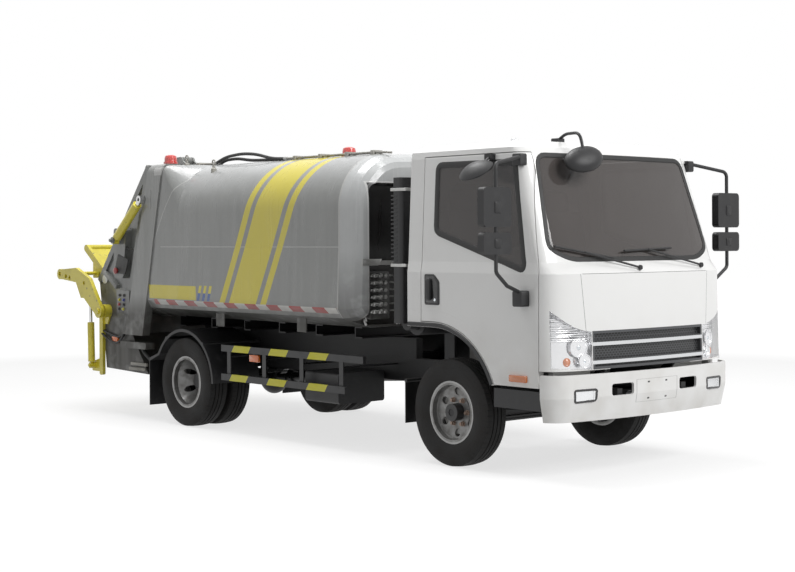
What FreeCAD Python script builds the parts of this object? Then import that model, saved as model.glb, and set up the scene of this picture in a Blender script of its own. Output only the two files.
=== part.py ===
import FreeCAD, Part
import math
import os

# Rear-loading garbage truck on a light two-axle chassis. Millimetres and degrees.
# While a piece is drawn, x runs forward from the front axle, y to the left and z up from the
# ground. Each saved piece is moved so that the origin lies on the ground under the middle.

V = FreeCAD.Vector
os.makedirs("parts", exist_ok=True)

# Driving dimensions of the vehicle.
wheelbase = 3300.0
front_overhang = 1156.0
rear_overhang = 2112.0
tyre_radius = 387.0
tyre_width = 200.0
front_track_half = 796.0
rear_inner_half = 632.0
rear_outer_half = 868.0
cab_half_width = 940.0
body_half_width = 1018.0
body_floor_z = 940.0
body_roof_z = 2300.0
running_gap = 6.0
seat_gap = 0.3
overrun = 400.0
full_turn = 360.0

# The front axle's place ahead of the middle of the vehicle's length.
front_axle_x = (wheelbase + rear_overhang - front_overhang) / 2
rear_axle_x = -wheelbase
axle_z = tyre_radius
place = V(front_axle_x, 0, 0)
along_x = V(1, 0, 0)
along_y = V(0, 1, 0)
along_z = V(0, 0, 1)
sides = {"right": -1, "left": 1}


def save(name, *solids):
    """Writes the solids of one piece to its file, moved to the vehicle's own origin."""
    moved = []
    for solid in solids:
        copy = solid.copy()
        copy.translate(place)
        moved.append(copy)
    shape = moved[0] if len(moved) == 1 else Part.makeCompound(moved)
    shape.exportStep("parts/" + name + ".step")


def mirrored(shape):
    """The same shape on the other side of the vehicle."""
    return shape.mirror(V(0, 0, 0), along_y)


def fused(shapes):
    """One solid from shapes that meet."""
    shapes = list(shapes)
    whole = shapes[0]
    if len(shapes) > 1:
        whole = whole.multiFuse(shapes[1:])
    return whole.removeSplitter()


def block(x0, x1, y0, y1, z0, z1):
    """A box between two opposite corners, in either order."""
    corner = V(min(x0, x1), min(y0, y1), min(z0, z1))
    return Part.makeBox(abs(x1 - x0), abs(y1 - y0), abs(z1 - z0), corner)


def bar(start, end, radius):
    """A round bar from one point to another."""
    start = V(*start)
    run = V(*end) - start
    return Part.makeCylinder(radius, run.Length, start, run)


def loop(items, at):
    """A closed wire: a pair is a corner, four numbers are the middle and end of an arc."""
    first = at(*items[0])
    here = first
    edges = []
    for item in items[1:] + [items[0]]:
        end = at(*item[-2:])
        if len(item) == 4:
            edges.append(Part.Arc(here, at(*item[:2]), end).toShape())
        elif end.distanceToPoint(here) > seat_gap / 100:
            edges.append(Part.makeLine(here, end))
        here = end
    return Part.Wire(edges)


def rounded(points, radius):
    """The items of a polygon whose corners are rounded to one radius."""
    items = []
    count = len(points)
    for i in range(count):
        before, corner, after = (V(*points[(i + k) % count], 0) for k in (-1, 0, 1))
        into = (corner - before).normalize()
        out = (after - corner).normalize()
        half = into.getAngle(out) / 2
        reach = radius * math.tan(half)
        start = corner - into * reach
        end = corner + out * reach
        inward = (out - into).normalize()
        middle = corner + inward * (radius / math.cos(half) - radius)
        items.append((start.x, start.y))
        items.append((middle.x, middle.y, end.x, end.y))
    return items


def side_wire(items, y):
    """A closed wire of (x, z) items in the plane of one y."""
    return loop(items, lambda x, z: V(x, y, z))


def side_plate(items, y0, y1):
    """(x, z) items drawn across the vehicle from y0 to y1."""
    return Part.Face(side_wire(items, y0)).extrude(V(0, y1 - y0, 0))


def front_plate(items, x0, x1):
    """(y, z) items drawn along the vehicle from x0 to x1."""
    wire = loop(items, lambda y, z: V(x0, y, z))
    return Part.Face(wire).extrude(V(x1 - x0, 0, 0))


def flat_plate(items, z0, z1):
    """(x, y) items drawn upward from z0 to z1."""
    wire = loop(items, lambda x, y: V(x, y, z0))
    return Part.Face(wire).extrude(V(0, 0, z1 - z0))


def grown_front_plate(items, growth, x0, x1):
    """A front plate whose outline is grown, or shrunk where the growth is negative."""
    wire = loop(items, lambda y, z: V(x0, y, z))
    if growth:
        wire = wire.makeOffset2D(growth)
    return Part.Face(wire).extrude(V(x1 - x0, 0, 0))


def grown_side_plate(items, growth, y0, y1):
    """A side plate whose outline is grown, or shrunk where the growth is negative."""
    wire = side_wire(items, y0)
    if growth:
        wire = wire.makeOffset2D(growth)
    return Part.Face(wire).extrude(V(0, y1 - y0, 0))


def turned(items, x, z):
    """(radius, y) items turned about the cross axis through (x, z)."""
    face = Part.Face(loop(items, lambda r, y: V(x + r, y, z)))
    return face.revolve(V(x, 0, z), along_y, full_turn)


def bent_bar(points, radius, bend):
    """A round bar along straight runs that tangent arcs join."""
    points = [V(*point) for point in points]
    edges = []
    here = points[0]
    for before, corner, after in zip(points, points[1:], points[2:]):
        into = (corner - before).normalize()
        out = (after - corner).normalize()
        half = into.getAngle(out) / 2
        reach = bend * math.tan(half)
        start = corner - into * reach
        end = corner + out * reach
        inward = (out - into).normalize()
        middle = corner + inward * (bend / math.cos(half) - bend)
        edges.append(Part.makeLine(here, start))
        edges.append(Part.Arc(start, middle, end).toShape())
        here = end
    edges.append(Part.makeLine(here, points[-1]))
    path = Part.Wire(edges)
    ring = Part.Wire(Part.makeCircle(radius, points[0], points[1] - points[0]))
    return path.makePipeShell([ring], True, False)


def on_side(shape, side):
    """A shape drawn for the left, put on either side of the vehicle."""
    return shape if side > 0 else mirrored(shape)


# Ladder frame: two pressed channels with their flanges inward, and the members between them.
rail_top_z = 690.0
rail_height = 180.0
rail_half_width = 375.0
rail_flange = 65.0
rail_wall = 7.0
rail_front_x = 985.0
rail_rear_behind = 580.0
rail_rear_x = rear_axle_x - rail_rear_behind
member_width = 70.0
member_depth = 80.0
member_count = 9
rail_bottom_z = rail_top_z - rail_height


def frame_rail(side):
    web = rail_half_width - rail_wall
    lip = rail_half_width - rail_flange
    low = rail_bottom_z + rail_wall
    high = rail_top_z - rail_wall
    items = [
        (rail_half_width, rail_bottom_z), (rail_half_width, rail_top_z), (lip, rail_top_z),
        (lip, high), (web, high), (web, low), (lip, low), (lip, rail_bottom_z),
    ]
    items = [(y * side, z) for y, z in items]
    return front_plate(items, rail_rear_x, rail_front_x)


def frame_members():
    inner = rail_half_width - rail_wall / 2
    high = rail_top_z - rail_wall / 2
    low = high - member_depth
    pitch = (rail_front_x - rail_rear_x - member_width) / (member_count - 1)
    members = []
    for i in range(member_count):
        x = rail_rear_x + i * pitch
        if gearbox_rear_x - member_width * 2 < x < engine_front_x:
            continue
        outer = block(x, x + member_width, -inner, inner, low, high)
        hollow = block(x + rail_wall, x + member_width + overrun, -overrun, overrun,
                       low + rail_wall, high - rail_wall)
        members.append(outer.cut(hollow))
    return members


# Engine with its gearbox: one plain block between the rails, under the cab.
engine_front_x = 470.0
engine_rear_x = -420.0
engine_half_width = 290.0
engine_bottom_z = 440.0
engine_top_z = 950.0
gearbox_rear_x = -900.0
gearbox_half = 130.0
gearbox_axis_z = 540.0
mount_drop = 40.0


def engine_block():
    items = rounded([
        (engine_rear_x, engine_bottom_z), (engine_front_x, engine_bottom_z),
        (engine_front_x, engine_top_z), (engine_rear_x, engine_top_z),
    ], mount_drop)
    engine = side_plate(items, -engine_half_width, engine_half_width)
    box = block(gearbox_rear_x, engine_rear_x, -gearbox_half, gearbox_half,
                gearbox_axis_z - gearbox_half, gearbox_axis_z + gearbox_half)
    reach = rail_half_width - rail_wall - seat_gap
    feet = block(-mount_drop, mount_drop, -reach, reach,
                 rail_bottom_z + rail_wall + seat_gap, rail_bottom_z + rail_wall + mount_drop)
    return fused([engine, box, feet])


# Front axle: a dropped beam under the springs, its eyes on the kingpins.
kingpin_half = 680.0
kingpin_radius = 16.0
beam_height = 70.0
beam_width = 80.0
beam_drop = 45.0
beam_eye_radius = 38.0
fork_height = 150.0
pad_share = 0.62
neck_share = 0.86


def front_axle_beam():
    low = axle_z - beam_drop - beam_height / 2
    eye_low = axle_z - beam_height / 2
    pad = kingpin_half * pad_share
    neck = kingpin_half * neck_share
    items = [
        (-kingpin_half, eye_low), (-kingpin_half, eye_low + beam_height),
        (-neck, eye_low + beam_height), (-pad, low + beam_height),
        (pad, low + beam_height), (neck, eye_low + beam_height),
        (kingpin_half, eye_low + beam_height), (kingpin_half, eye_low),
        (neck, eye_low), (pad, low), (-pad, low), (-neck, eye_low),
    ]
    beam = front_plate(items, -beam_width / 2, beam_width / 2)
    web_cut = beam_width / 2 - rail_wall
    hollow_items = [
        (-pad, low + rail_wall * 2), (-pad, low + beam_height - rail_wall * 2),
        (pad, low + beam_height - rail_wall * 2), (pad, low + rail_wall * 2),
    ]
    beam = beam.cut(front_plate(hollow_items, rail_wall, web_cut + overrun))
    beam = beam.cut(front_plate(hollow_items, -rail_wall, -web_cut - overrun))
    for side in sides.values():
        y = kingpin_half * side
        eye = bar((0, y, eye_low), (0, y, eye_low + beam_height), beam_eye_radius)
        hole = bar((0, y, eye_low - overrun), (0, y, eye_low + overrun),
                   kingpin_radius + seat_gap)
        beam = beam.fuse(eye).cut(hole)
    return beam.removeSplitter()


# Steering knuckle: a fork round the beam's eye, a stub axle, and an arm for the track rod.
stub_radius = 27.0
stub_reach = 120.0
knuckle_wall = 30.0
knuckle_radius = 36.0
arm_reach = 165.0
arm_inset = 45.0
arm_thick = 20.0
arm_z = 290.0
ball_radius = 22.0


def knuckle(side):
    y = kingpin_half * side
    outer = fork_height / 2
    inner = beam_height / 2 + running_gap
    top = bar((0, y, axle_z + inner), (0, y, axle_z + outer), knuckle_radius)
    foot = bar((0, y, axle_z - outer), (0, y, axle_z - inner), knuckle_radius)
    pin = bar((0, y, axle_z - outer), (0, y, axle_z + outer), kingpin_radius)
    back0 = (kingpin_half + beam_eye_radius + running_gap) * side
    back1 = back0 + knuckle_wall * side
    low, high = sorted((y, back1))
    cheeks = []
    for z0, z1 in ((inner, outer), (-outer, -inner)):
        cheeks.append(block(-knuckle_radius, knuckle_radius, low, high, axle_z + z0, axle_z + z1))
    low, high = sorted((back0, back1))
    back = block(-knuckle_radius, knuckle_radius, low, high, axle_z - outer, axle_z + outer)
    stub = bar((0, back0, axle_z), (0, back1 + stub_reach * side, axle_z), stub_radius)
    ball_y = (kingpin_half - arm_inset) * side
    arm = fused([
        bar((0, y, arm_z), (0, y, arm_z + arm_thick), knuckle_radius),
        bar((-arm_reach, ball_y, arm_z), (-arm_reach, ball_y, arm_z + arm_thick), ball_radius),
        flat_plate([
            (0, y - ball_radius), (0, y + ball_radius),
            (-arm_reach, ball_y + ball_radius), (-arm_reach, ball_y - ball_radius),
        ], arm_z, arm_z + arm_thick),
        bar((0, y, arm_z), (0, y, axle_z - inner), kingpin_radius),
    ])
    return fused([top, foot, pin, back, stub, arm] + cheeks)


# Track rod: a tube behind the beam, just under the two knuckles' arms.
track_rod_radius = 16.0


def track_rod():
    z = arm_z - seat_gap - ball_radius
    y = kingpin_half - arm_inset
    rod = bar((-arm_reach, -y, z), (-arm_reach, y, z), track_rod_radius)
    ends = [bar((-arm_reach, y * side, z - ball_radius),
                (-arm_reach, y * side, z + ball_radius), ball_radius)
            for side in sides.values()]
    return fused([rod] + ends)


# Rear axle: a round housing with its differential, springs on top, wheels at its ends.
housing_radius = 58.0
housing_half = 520.0
spindle_radius = 40.0
spindle_half = 780.0
differential_radius = 165.0
differential_half = 90.0
pinion_radius = 70.0
pinion_reach = 260.0


def rear_axle():
    tube = bar((rear_axle_x, -housing_half, axle_z), (rear_axle_x, housing_half, axle_z),
               housing_radius)
    spindle = bar((rear_axle_x, -spindle_half, axle_z), (rear_axle_x, spindle_half, axle_z),
                  spindle_radius)
    bowl = turned(rounded_drum(differential_radius, differential_half), rear_axle_x, axle_z)
    nose = bar((rear_axle_x, 0, axle_z), (rear_axle_x + pinion_reach, 0, axle_z), pinion_radius)
    return fused([tube, spindle, bowl, nose])


def rounded_drum(radius, half):
    """The outline of a drum that bulges at its middle."""
    return [(0, -half), (radius / 2, -half), (radius, 0, radius / 2, half), (0, half)]


# Propeller shaft from the gearbox to the axle's pinion.
shaft_radius = 42.0
joint_radius = 60.0
joint_length = 60.0


def propeller_shaft():
    front = V(gearbox_rear_x - seat_gap, 0, gearbox_axis_z)
    rear = V(rear_axle_x + pinion_reach + seat_gap, 0, axle_z)
    run = (rear - front).normalize()
    joints = []
    for end, inward in ((front, 1), (rear, -1)):
        joints.append(bar(end, end - along_x * joint_length * inward, joint_radius))
    tube = bar(front + run * joint_length / 2, rear - run * joint_length / 2, shaft_radius)
    return fused([tube] + joints)


# Leaf springs: a pack over each axle end under each rail, in two hangers.
spring_half_width = 30.0
spring_front_half = 560.0
spring_rear_half = 640.0
leaf_thick = 11.0
spring_leaves = 4
leaf_step = 90.0
hanger_width = 60.0
spring_eye_radius = 20.0


def leaf_spring(x, half, seat_z, side):
    """One pack, flat on its seat and rising to its two eyes, with its hangers on the rail."""
    y = rail_half_width * side
    rise = rail_bottom_z - hanger_width - seat_z
    top = seat_z + leaf_thick * spring_leaves
    pieces = []
    for i in range(spring_leaves):
        reach = half - leaf_step * i
        up = rise * (reach / half) ** 2
        z = top - leaf_thick * (i + 1)
        items = [
            (x - reach, z + up), (x, z, x + reach, z + up), (x + reach, z + up + leaf_thick),
            (x, z + leaf_thick, x - reach, z + up + leaf_thick),
        ]
        pieces.append(side_plate(items, y - spring_half_width, y + spring_half_width))
    eye_z = top - leaf_thick / 2 + rise
    for end in (-half, half):
        pieces.append(bar((x + end, y - spring_half_width, eye_z),
                          (x + end, y + spring_half_width, eye_z), spring_eye_radius))
        pieces.append(side_plate([
            (x + end - hanger_width, rail_bottom_z - seat_gap), (x + end - leaf_thick, eye_z),
            (x + end + leaf_thick, eye_z), (x + end + hanger_width, rail_bottom_z - seat_gap),
        ], y - spring_half_width, y + spring_half_width))
    return fused(pieces)


# Wheels: a pressed disc in a welded rim on a hub with its brake drum, and the tyre.
rim_radius = 225.0
rim_width = 165.0
rim_wall = 9.0
rim_well_radius = 190.0
flange_height = 19.0
disc_wall = 12.0
hub_radius = 62.0
hub_reach = 70.0
stud_circle = 95.0
stud_count = 6
stud_radius = 11.0
stud_length = 28.0
hand_hole_radius = 28.0
hand_hole_circle = 148.0
drum_radius = 160.0
drum_depth = 70.0
drum_wall = 14.0
# Degrees on from each other at which the wheels of the two sides came to a stop.
wheel_rest_turns = {"right": 0.0, "left": 20.0}


def rim(x, y, disc_offset):
    """A left-hand rim whose disc lies disc_offset outboard of its middle plane."""
    half = rim_width / 2
    seat = rim_radius - flange_height
    under = seat - rim_wall
    floor = rim_well_radius + rim_wall
    well = rim_well_radius
    edge = half / 3
    shoulder = hand_hole_circle - hand_hole_radius - disc_wall / 2
    bore = hub_radius / 2
    items = [
        (rim_radius, -half), (rim_radius, -half + rim_wall), (seat, -half + rim_wall),
        (seat, -half / 2), (floor, -edge), (floor, edge), (seat, half / 2),
        (seat, half - rim_wall), (rim_radius, half - rim_wall), (rim_radius, half), (under, half),
        (under, half / 2), (well, edge), (shoulder, disc_offset), (bore, disc_offset),
        (bore, disc_offset - disc_wall), (shoulder - disc_wall / 2, disc_offset - disc_wall),
        (well, edge - disc_wall * 2), (well, -edge), (under, -half / 2), (under, -half),
    ]
    return turned([(r, y + across) for r, across in items], x, axle_z)


def hand_holes(x, y):
    """The ventilation holes of a disc, as cutting bars."""
    holes = []
    for i in range(stud_count):
        turn = math.radians(360 / stud_count * (i + 1 / 2))
        hx = x + hand_hole_circle * math.cos(turn)
        hz = axle_z + hand_hole_circle * math.sin(turn)
        holes.append(bar((hx, y - tyre_width, hz), (hx, y + tyre_width, hz), hand_hole_radius))
    return holes


def wheel_studs(x, face):
    """The wheel nuts on the outer face of a left-hand disc."""
    studs = []
    for i in range(stud_count):
        turn = math.radians(360 / stud_count * i)
        sx = x + stud_circle * math.cos(turn)
        sz = axle_z + stud_circle * math.sin(turn)
        studs.append(bar((sx, face - disc_wall / 2, sz), (sx, face + stud_length, sz),
                         stud_radius))
    return studs


def brake_drum(x, outer, depth):
    """A drum open on its inboard side, its closed end at the outer place."""
    drum = bar((x, outer - depth, axle_z), (x, outer, axle_z), drum_radius)
    hollow = bar((x, outer - depth - drum_wall, axle_z), (x, outer - drum_wall, axle_z),
                 drum_radius - drum_wall)
    return drum.cut(hollow)


front_disc_offset = 12.0


def front_wheel():
    """Rim, disc, hub and brake drum of the left front wheel."""
    y = front_track_half
    face = y + front_disc_offset
    body = rim(0, y, front_disc_offset)
    for hole in hand_holes(0, y):
        body = body.cut(hole)
    hub = bar((0, face - disc_wall - drum_wall / 2, axle_z), (0, face + hub_reach, axle_z),
              hub_radius)
    drum = brake_drum(0, face - disc_wall / 2, drum_depth)
    bore_end = (kingpin_half + beam_eye_radius + running_gap + knuckle_wall
                + stub_reach + running_gap)
    bore = bar((0, y - overrun, axle_z), (0, bore_end, axle_z), stub_radius + seat_gap)
    return fused([body, hub, drum] + wheel_studs(0, face)).cut(bore)


def about_axle(wheel, x, turn):
    """A wheel turned on about the axle at x."""
    rolled = wheel.copy()
    rolled.rotate(V(x, 0, axle_z), along_y, turn)
    return rolled


def rear_wheels():
    """The two rims of the left rear corner on their common hub and drum."""
    dish = (rear_outer_half - rear_inner_half) / 2
    middle = rear_outer_half - dish
    outer = rim(rear_axle_x, rear_outer_half, disc_wall - dish)
    inner = rim(rear_axle_x, rear_inner_half, dish)
    face = middle + disc_wall
    rims = outer.fuse(inner)
    for hole in hand_holes(rear_axle_x, middle):
        rims = rims.cut(hole)
    hub = bar((rear_axle_x, rear_inner_half, axle_z), (rear_axle_x, face + hub_reach, axle_z),
              hub_radius)
    drum = brake_drum(rear_axle_x, middle - disc_wall / 2, drum_depth * 2)
    bore = bar((rear_axle_x, rear_inner_half - overrun, axle_z),
               (rear_axle_x, face + hub_reach / 2, axle_z), spindle_radius + seat_gap)
    return fused([rims, hub, drum] + wheel_studs(rear_axle_x, face)).cut(bore)


# Tyres: one turned carcass each, with a crown, shoulders and bulging side walls.
tyre_crown = 6.0
tyre_shoulder_share = 0.86
tyre_bulge_share = 0.62
groove_depth = 9.0
groove_width = 9.0
groove_shares = (-0.36, 0, 0.36)


def tyre(x, y):
    half = tyre_width / 2
    bead = rim_radius - flange_height + seat_gap
    bead_half = rim_width / 2 - rim_wall - seat_gap
    shoulder = half * tyre_shoulder_share
    height = tyre_radius - bead
    bulge = bead + height * tyre_bulge_share
    edge = tyre_radius - tyre_crown
    rounding = tyre_radius - tyre_crown * 4
    flange = rim_radius + seat_gap
    lip_half = rim_width / 2 + seat_gap
    items = [(bead, y - bead_half), (flange, y - bead_half), (flange, y - lip_half)]
    items.append((bulge, y - half, rounding, y - half * (1 + tyre_shoulder_share) / 2))
    items.append((edge, y - shoulder))
    for share in groove_shares:
        middle = y + half * share
        crown = tyre_radius - tyre_crown * share * share
        items.append((crown, middle - groove_width / 2))
        items.append((crown - groove_depth, middle - groove_width / 2))
        items.append((crown - groove_depth, middle + groove_width / 2))
        items.append((crown, middle + groove_width / 2))
    items.append((edge, y + shoulder))
    items.append((rounding, y + half * (1 + tyre_shoulder_share) / 2))
    items.append((bulge, y + half, flange, y + lip_half))
    items.append((flange, y + bead_half))
    items.append((bead, y + bead_half))
    return turned(items, x, axle_z)


# Cab: a pressed shell lofted through plan sections, hollow, with its openings cut.
cab_rear_x = -394.0
cab_nose_x = 1128.0
cab_bottom_z = 618.0
cab_wall = 42.0
cab_bow = 26.0
cab_corner_share = 0.64
cab_curve_share = 0.74
low_corner_back = 248.0
high_corner_back = 160.0
belt_z = 1385.0
belt_nose_x = 1094.0
screen_foot_z = 1463.0
screen_foot_x = 1014.0
screen_foot_half = 928.0
screen_top_z = 2200.0
screen_top_x = 790.0
screen_top_half = 893.0
gutter_z = 2250.0
gutter_x = 756.0
gutter_half = 884.0
cab_roof_z = 2296.0
roof_nose_x = 690.0
roof_half = 820.0
roof_rear_inset = 60.0


def cab_section(z, half, nose, back, rear):
    """The plan of the cab at one height: a bowed front that rounds into flat sides."""
    brow_y = half * cab_corner_share
    lean = 2 * math.atan(cab_bow / brow_y)
    reach_y = (half - brow_y) * cab_curve_share
    reach_x = (back - cab_bow) * cab_curve_share

    def corner_curve(side):
        brow = V(nose - cab_bow, brow_y * side, z)
        turn = V(nose - back, half * side, z)
        slant = V(-math.sin(lean), math.cos(lean) * side, 0) * reach_y
        curve = Part.BezierCurve()
        curve.setPoles([brow, brow + slant, turn + along_x * reach_x, turn])
        return curve.toShape()
    bow = Part.Arc(V(nose - cab_bow, -brow_y, z), V(nose, 0, z), V(nose - cab_bow, brow_y, z))
    edges = [
        Part.makeLine(V(rear, -half, z), V(nose - back, -half, z)), corner_curve(-1),
        bow.toShape(), corner_curve(1), Part.makeLine(V(nose - back, half, z), V(rear, half, z)),
        Part.makeLine(V(rear, half, z), V(rear, -half, z)),
    ]
    return Part.Wire(edges)


def cab_form(inset):
    """The closed form of the cab, each face moved inward by the inset."""
    rows = [
        (cab_bottom_z - overrun, cab_half_width, cab_nose_x, low_corner_back, 0),
        (belt_z, cab_half_width, belt_nose_x, low_corner_back, 0),
        (screen_foot_z, screen_foot_half, screen_foot_x, high_corner_back, 0),
        (screen_top_z, screen_top_half, screen_top_x, high_corner_back, 0),
        (gutter_z, gutter_half, gutter_x, high_corner_back, 0),
        (cab_roof_z, roof_half, roof_nose_x, high_corner_back, roof_rear_inset),
    ]
    wires = []
    for z, half, nose, back, rear in rows:
        drop = inset if z == cab_roof_z else 0
        wires.append(cab_section(z - drop, half - inset, nose - inset, back,
                                 cab_rear_x + rear + inset))
    return Part.makeLoft(wires, True, True)


# Lines of the cab's openings. Those of the doors and the arch are seen from the side.
door_front_x = 917.0
door_rear_x = -250.0
door_top_z = 2216.0
door_top_front_x = 741.0
door_belt_z = 1400.0
door_inner_y = 800.0
door_gap = 6.0
arch_front_x = 454.0
arch_rear_x = -121.0
arch_top_z = 992.0
arch_lip = 36.0
floor_thick = 56.0
tunnel_half_width = 430.0
tunnel_z = 800.0
engine_cover_gap = 20.0
engine_cover_x = 530.0
front_panel_z = 739.0
toe_board_x = 870.0
side_window_points = [(-130.0, 1667.0), (-126.0, 2165.0), (677.0, 2160.0), (799.0, 1390.0)]
side_window_corner = 45.0
screen_points = [(-858.0, 1548.0), (-690.0, 1474.0), (690.0, 1474.0), (858.0, 1548.0),
                 (778.0, 2200.0), (-778.0, 2200.0)]
screen_corner = 60.0
rear_window_half = 520.0
rear_window_z = 1560.0
rear_window_top_z = 2040.0
rear_window_corner = 60.0
glass_thick = 8.0
glass_inset = 4.0
skin_split_x = 500.0


def arch_arc(offset, foot_z):
    """The wheel arch's curve, moved outward: its foot, and the middle and end of its arc."""
    run = arch_front_x - arch_rear_x
    fall = arch_top_z - cab_bottom_z
    radius = (run * run + fall * fall) / (2 * fall)
    centre_z = arch_top_z - radius
    reach = radius + offset
    foot_turn = math.asin((foot_z - centre_z) / reach)
    middle_turn = (foot_turn + math.radians(full_turn / 4)) / 2
    foot = (arch_rear_x + reach * math.cos(foot_turn), foot_z)
    middle = (arch_rear_x + reach * math.cos(middle_turn), centre_z + reach * math.sin(middle_turn))
    return foot, middle, (arch_rear_x, arch_top_z + offset)


def door_outline(gap):
    """The line of the door's edge, inside the opening by the gap."""
    foot, middle, end = arch_arc(arch_lip + gap, cab_bottom_z + gap)
    return [
        (door_front_x - gap, cab_bottom_z + gap), (door_front_x - gap, door_belt_z),
        (door_top_front_x - gap, door_top_z - gap), (door_rear_x + gap, door_top_z - gap),
        (door_rear_x + gap, end[1]), end, middle + foot,
    ]


def arch_outline():
    """The space over the front wheel, open below and to the rear."""
    foot, middle, end = arch_arc(0, cab_bottom_z)
    return [
        (foot[0], cab_bottom_z - overrun * 2), foot, middle + end,
        (cab_rear_x - overrun, arch_top_z), (cab_rear_x - overrun, cab_bottom_z - overrun * 2),
    ]


def cabin_space():
    """The room inside the cab, over its stepped floor."""
    low = cab_bottom_z + floor_thick
    foot, middle, end = arch_arc(floor_thick, low)
    items = [
        (toe_board_x, low), (toe_board_x, front_panel_z + floor_thick),
        (cab_nose_x + overrun, front_panel_z + floor_thick),
        (cab_nose_x + overrun, cab_roof_z + overrun), (cab_rear_x - overrun, cab_roof_z + overrun),
        (cab_rear_x - overrun, end[1]), end, middle + foot,
    ]
    room = side_plate(items, -body_half_width, body_half_width)
    step = tunnel_half_width + cab_wall
    tunnel = block(arch_rear_x, cab_nose_x + overrun, -step, step,
                   cab_bottom_z, tunnel_z + floor_thick)
    cover = block(cab_rear_x, engine_cover_x + cab_wall, -step, step, cab_bottom_z,
                  engine_top_z + engine_cover_gap + floor_thick)
    return cab_form(cab_wall).common(room.cut(tunnel).cut(cover))


def cab_panel(form, room):
    """The pressed cab before its openings are cut."""
    width = body_half_width
    shell = form.cut(room)
    shell = shell.cut(block(door_front_x, cab_nose_x + overrun, -width, width,
                            -overrun, front_panel_z))
    shell = shell.cut(block(cab_rear_x - overrun, cab_nose_x + overrun, -width, width,
                            -overrun, cab_bottom_z))
    shell = shell.cut(block(cab_rear_x - overrun, cab_nose_x + overrun, -tunnel_half_width,
                            tunnel_half_width, -overrun, tunnel_z))
    shell = shell.cut(block(cab_rear_x - overrun, engine_cover_x, -tunnel_half_width,
                            tunnel_half_width, -overrun, engine_top_z + engine_cover_gap))
    return shell.cut(side_plate(arch_outline(), -width, width))


def screen_items():
    return rounded(screen_points, screen_corner)


def side_window_items():
    return rounded(side_window_points, side_window_corner)


def rear_window_items():
    half = rear_window_half
    return rounded([
        (-half, rear_window_z), (half, rear_window_z),
        (half, rear_window_top_z), (-half, rear_window_top_z),
    ], rear_window_corner)


# Tilting pivot of the cab: ears on the rails carry a pin through the cab's two lugs.
tilt_x = 1000.0
tilt_z = 760.0
tilt_pin_radius = 14.0
tilt_ear_radius = 32.0
tilt_ear_thick = 14.0
tilt_lug_inner = 320.0
tilt_lug_thick = 30.0


def tilt_lug(side):
    """The cab's lug, hanging from the floor over the tunnel."""
    near, far = sorted((tilt_lug_inner * side, (tilt_lug_inner + tilt_lug_thick) * side))
    plate = block(tilt_x - tilt_ear_radius, tilt_x + tilt_ear_radius, near, far, tilt_z, tunnel_z)
    boss = bar((tilt_x, near, tilt_z), (tilt_x, far, tilt_z), tilt_ear_radius)
    hole = bar((tilt_x, near - overrun, tilt_z), (tilt_x, far + overrun, tilt_z),
               tilt_pin_radius + seat_gap)
    return plate.fuse(boss).cut(hole)


def tilt_bracket(side):
    """The ear on the rail, with the pin that reaches through the cab's lug."""
    near = tilt_lug_inner + tilt_lug_thick + running_gap
    far = near + tilt_ear_thick
    foot_z = rail_top_z + seat_gap
    foot_x = rail_front_x - tilt_ear_radius * 3
    items = [
        (foot_x, foot_z), (rail_front_x, foot_z), (tilt_x + tilt_ear_radius, tilt_z),
        (tilt_x, tilt_z + tilt_ear_radius, tilt_x - tilt_ear_radius, tilt_z),
    ]
    ear = side_plate(items, near * side, far * side)
    pin = bar((tilt_x, far * side, tilt_z), (tilt_x, (tilt_lug_inner - running_gap) * side, tilt_z),
              tilt_pin_radius)
    return fused([ear, pin])


def build_cab():
    """Saves the cab's shell, its glass, lamps, grille and both doors."""
    form = cab_form(0)
    room = cabin_space()
    panel = cab_panel(form, room)
    skin = form.cut(cab_form(cab_wall))
    front = block(skin_split_x, cab_nose_x + overrun, -overrun * 3, overrun * 3, 0, overrun * 8)
    front = skin.common(front)
    shell = panel
    screen_hole = grown_front_plate(screen_items(), 0, skin_split_x, cab_nose_x + overrun)
    shell = shell.cut(screen_hole)
    rear_hole = grown_front_plate(rear_window_items(), 0, cab_rear_x - overrun, 0)
    shell = shell.cut(rear_hole)
    glass_form = cab_form(glass_inset).cut(cab_form(glass_inset + glass_thick))
    screen = glass_form.common(grown_front_plate(screen_items(), -seat_gap, skin_split_x,
                                                 cab_nose_x + overrun))
    rear_glass = glass_form.common(grown_front_plate(rear_window_items(), -seat_gap,
                                                     cab_rear_x - overrun, 0))
    save("cab_glass", screen, rear_glass)
    for name, side in sides.items():
        near = door_inner_y * side
        far = (body_half_width + overrun) * side
        shell = shell.cut(side_plate(door_outline(0), near, far))
        door = skin.common(side_plate(door_outline(door_gap), near + running_gap * side, far))
        door = door.cut(side_plate(side_window_items(), near, far))
        for piece in door_fittings(name, side):
            door = door.fuse(piece)
        save("door_" + name, door)
        pane = glass_form.common(grown_side_plate(side_window_items(), -seat_gap, near, far))
        save("door_glass_" + name, pane)
    for outline in (lamp_items(-1), lamp_items(1)):
        shell = shell.cut(grown_front_plate(outline, 0, lamp_rear_x, cab_nose_x + overrun))
    shell = shell.cut(grown_front_plate(grille_items(), 0, skin_split_x, cab_nose_x + overrun))
    save("headlamps", *pair(lambda side: front.common(grown_front_plate(
        lamp_items(side), -seat_gap, lamp_rear_x + seat_gap, cab_nose_x + overrun))))
    save("grille", grille(front))
    lugs = [tilt_lug(side) for side in sides.values()]
    save("cab_shell", fused([shell] + lugs))
    save("front_mirror", front_mirror())
    save("wipers", *[wiper(spots) for spots in wiper_spots])


# Headlamps: tall lenses that wrap the cab's front corners beside the grille.
lamp_outer = 905.0
lamp_inner = 596.0
lamp_low = 760.0
lamp_inner_low = 742.0
lamp_outer_top = 1142.0
lamp_inner_top = 996.0
lamp_dip_y = 700.0
lamp_dip_z = 1016.0
lamp_rear_x = 935.0


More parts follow.
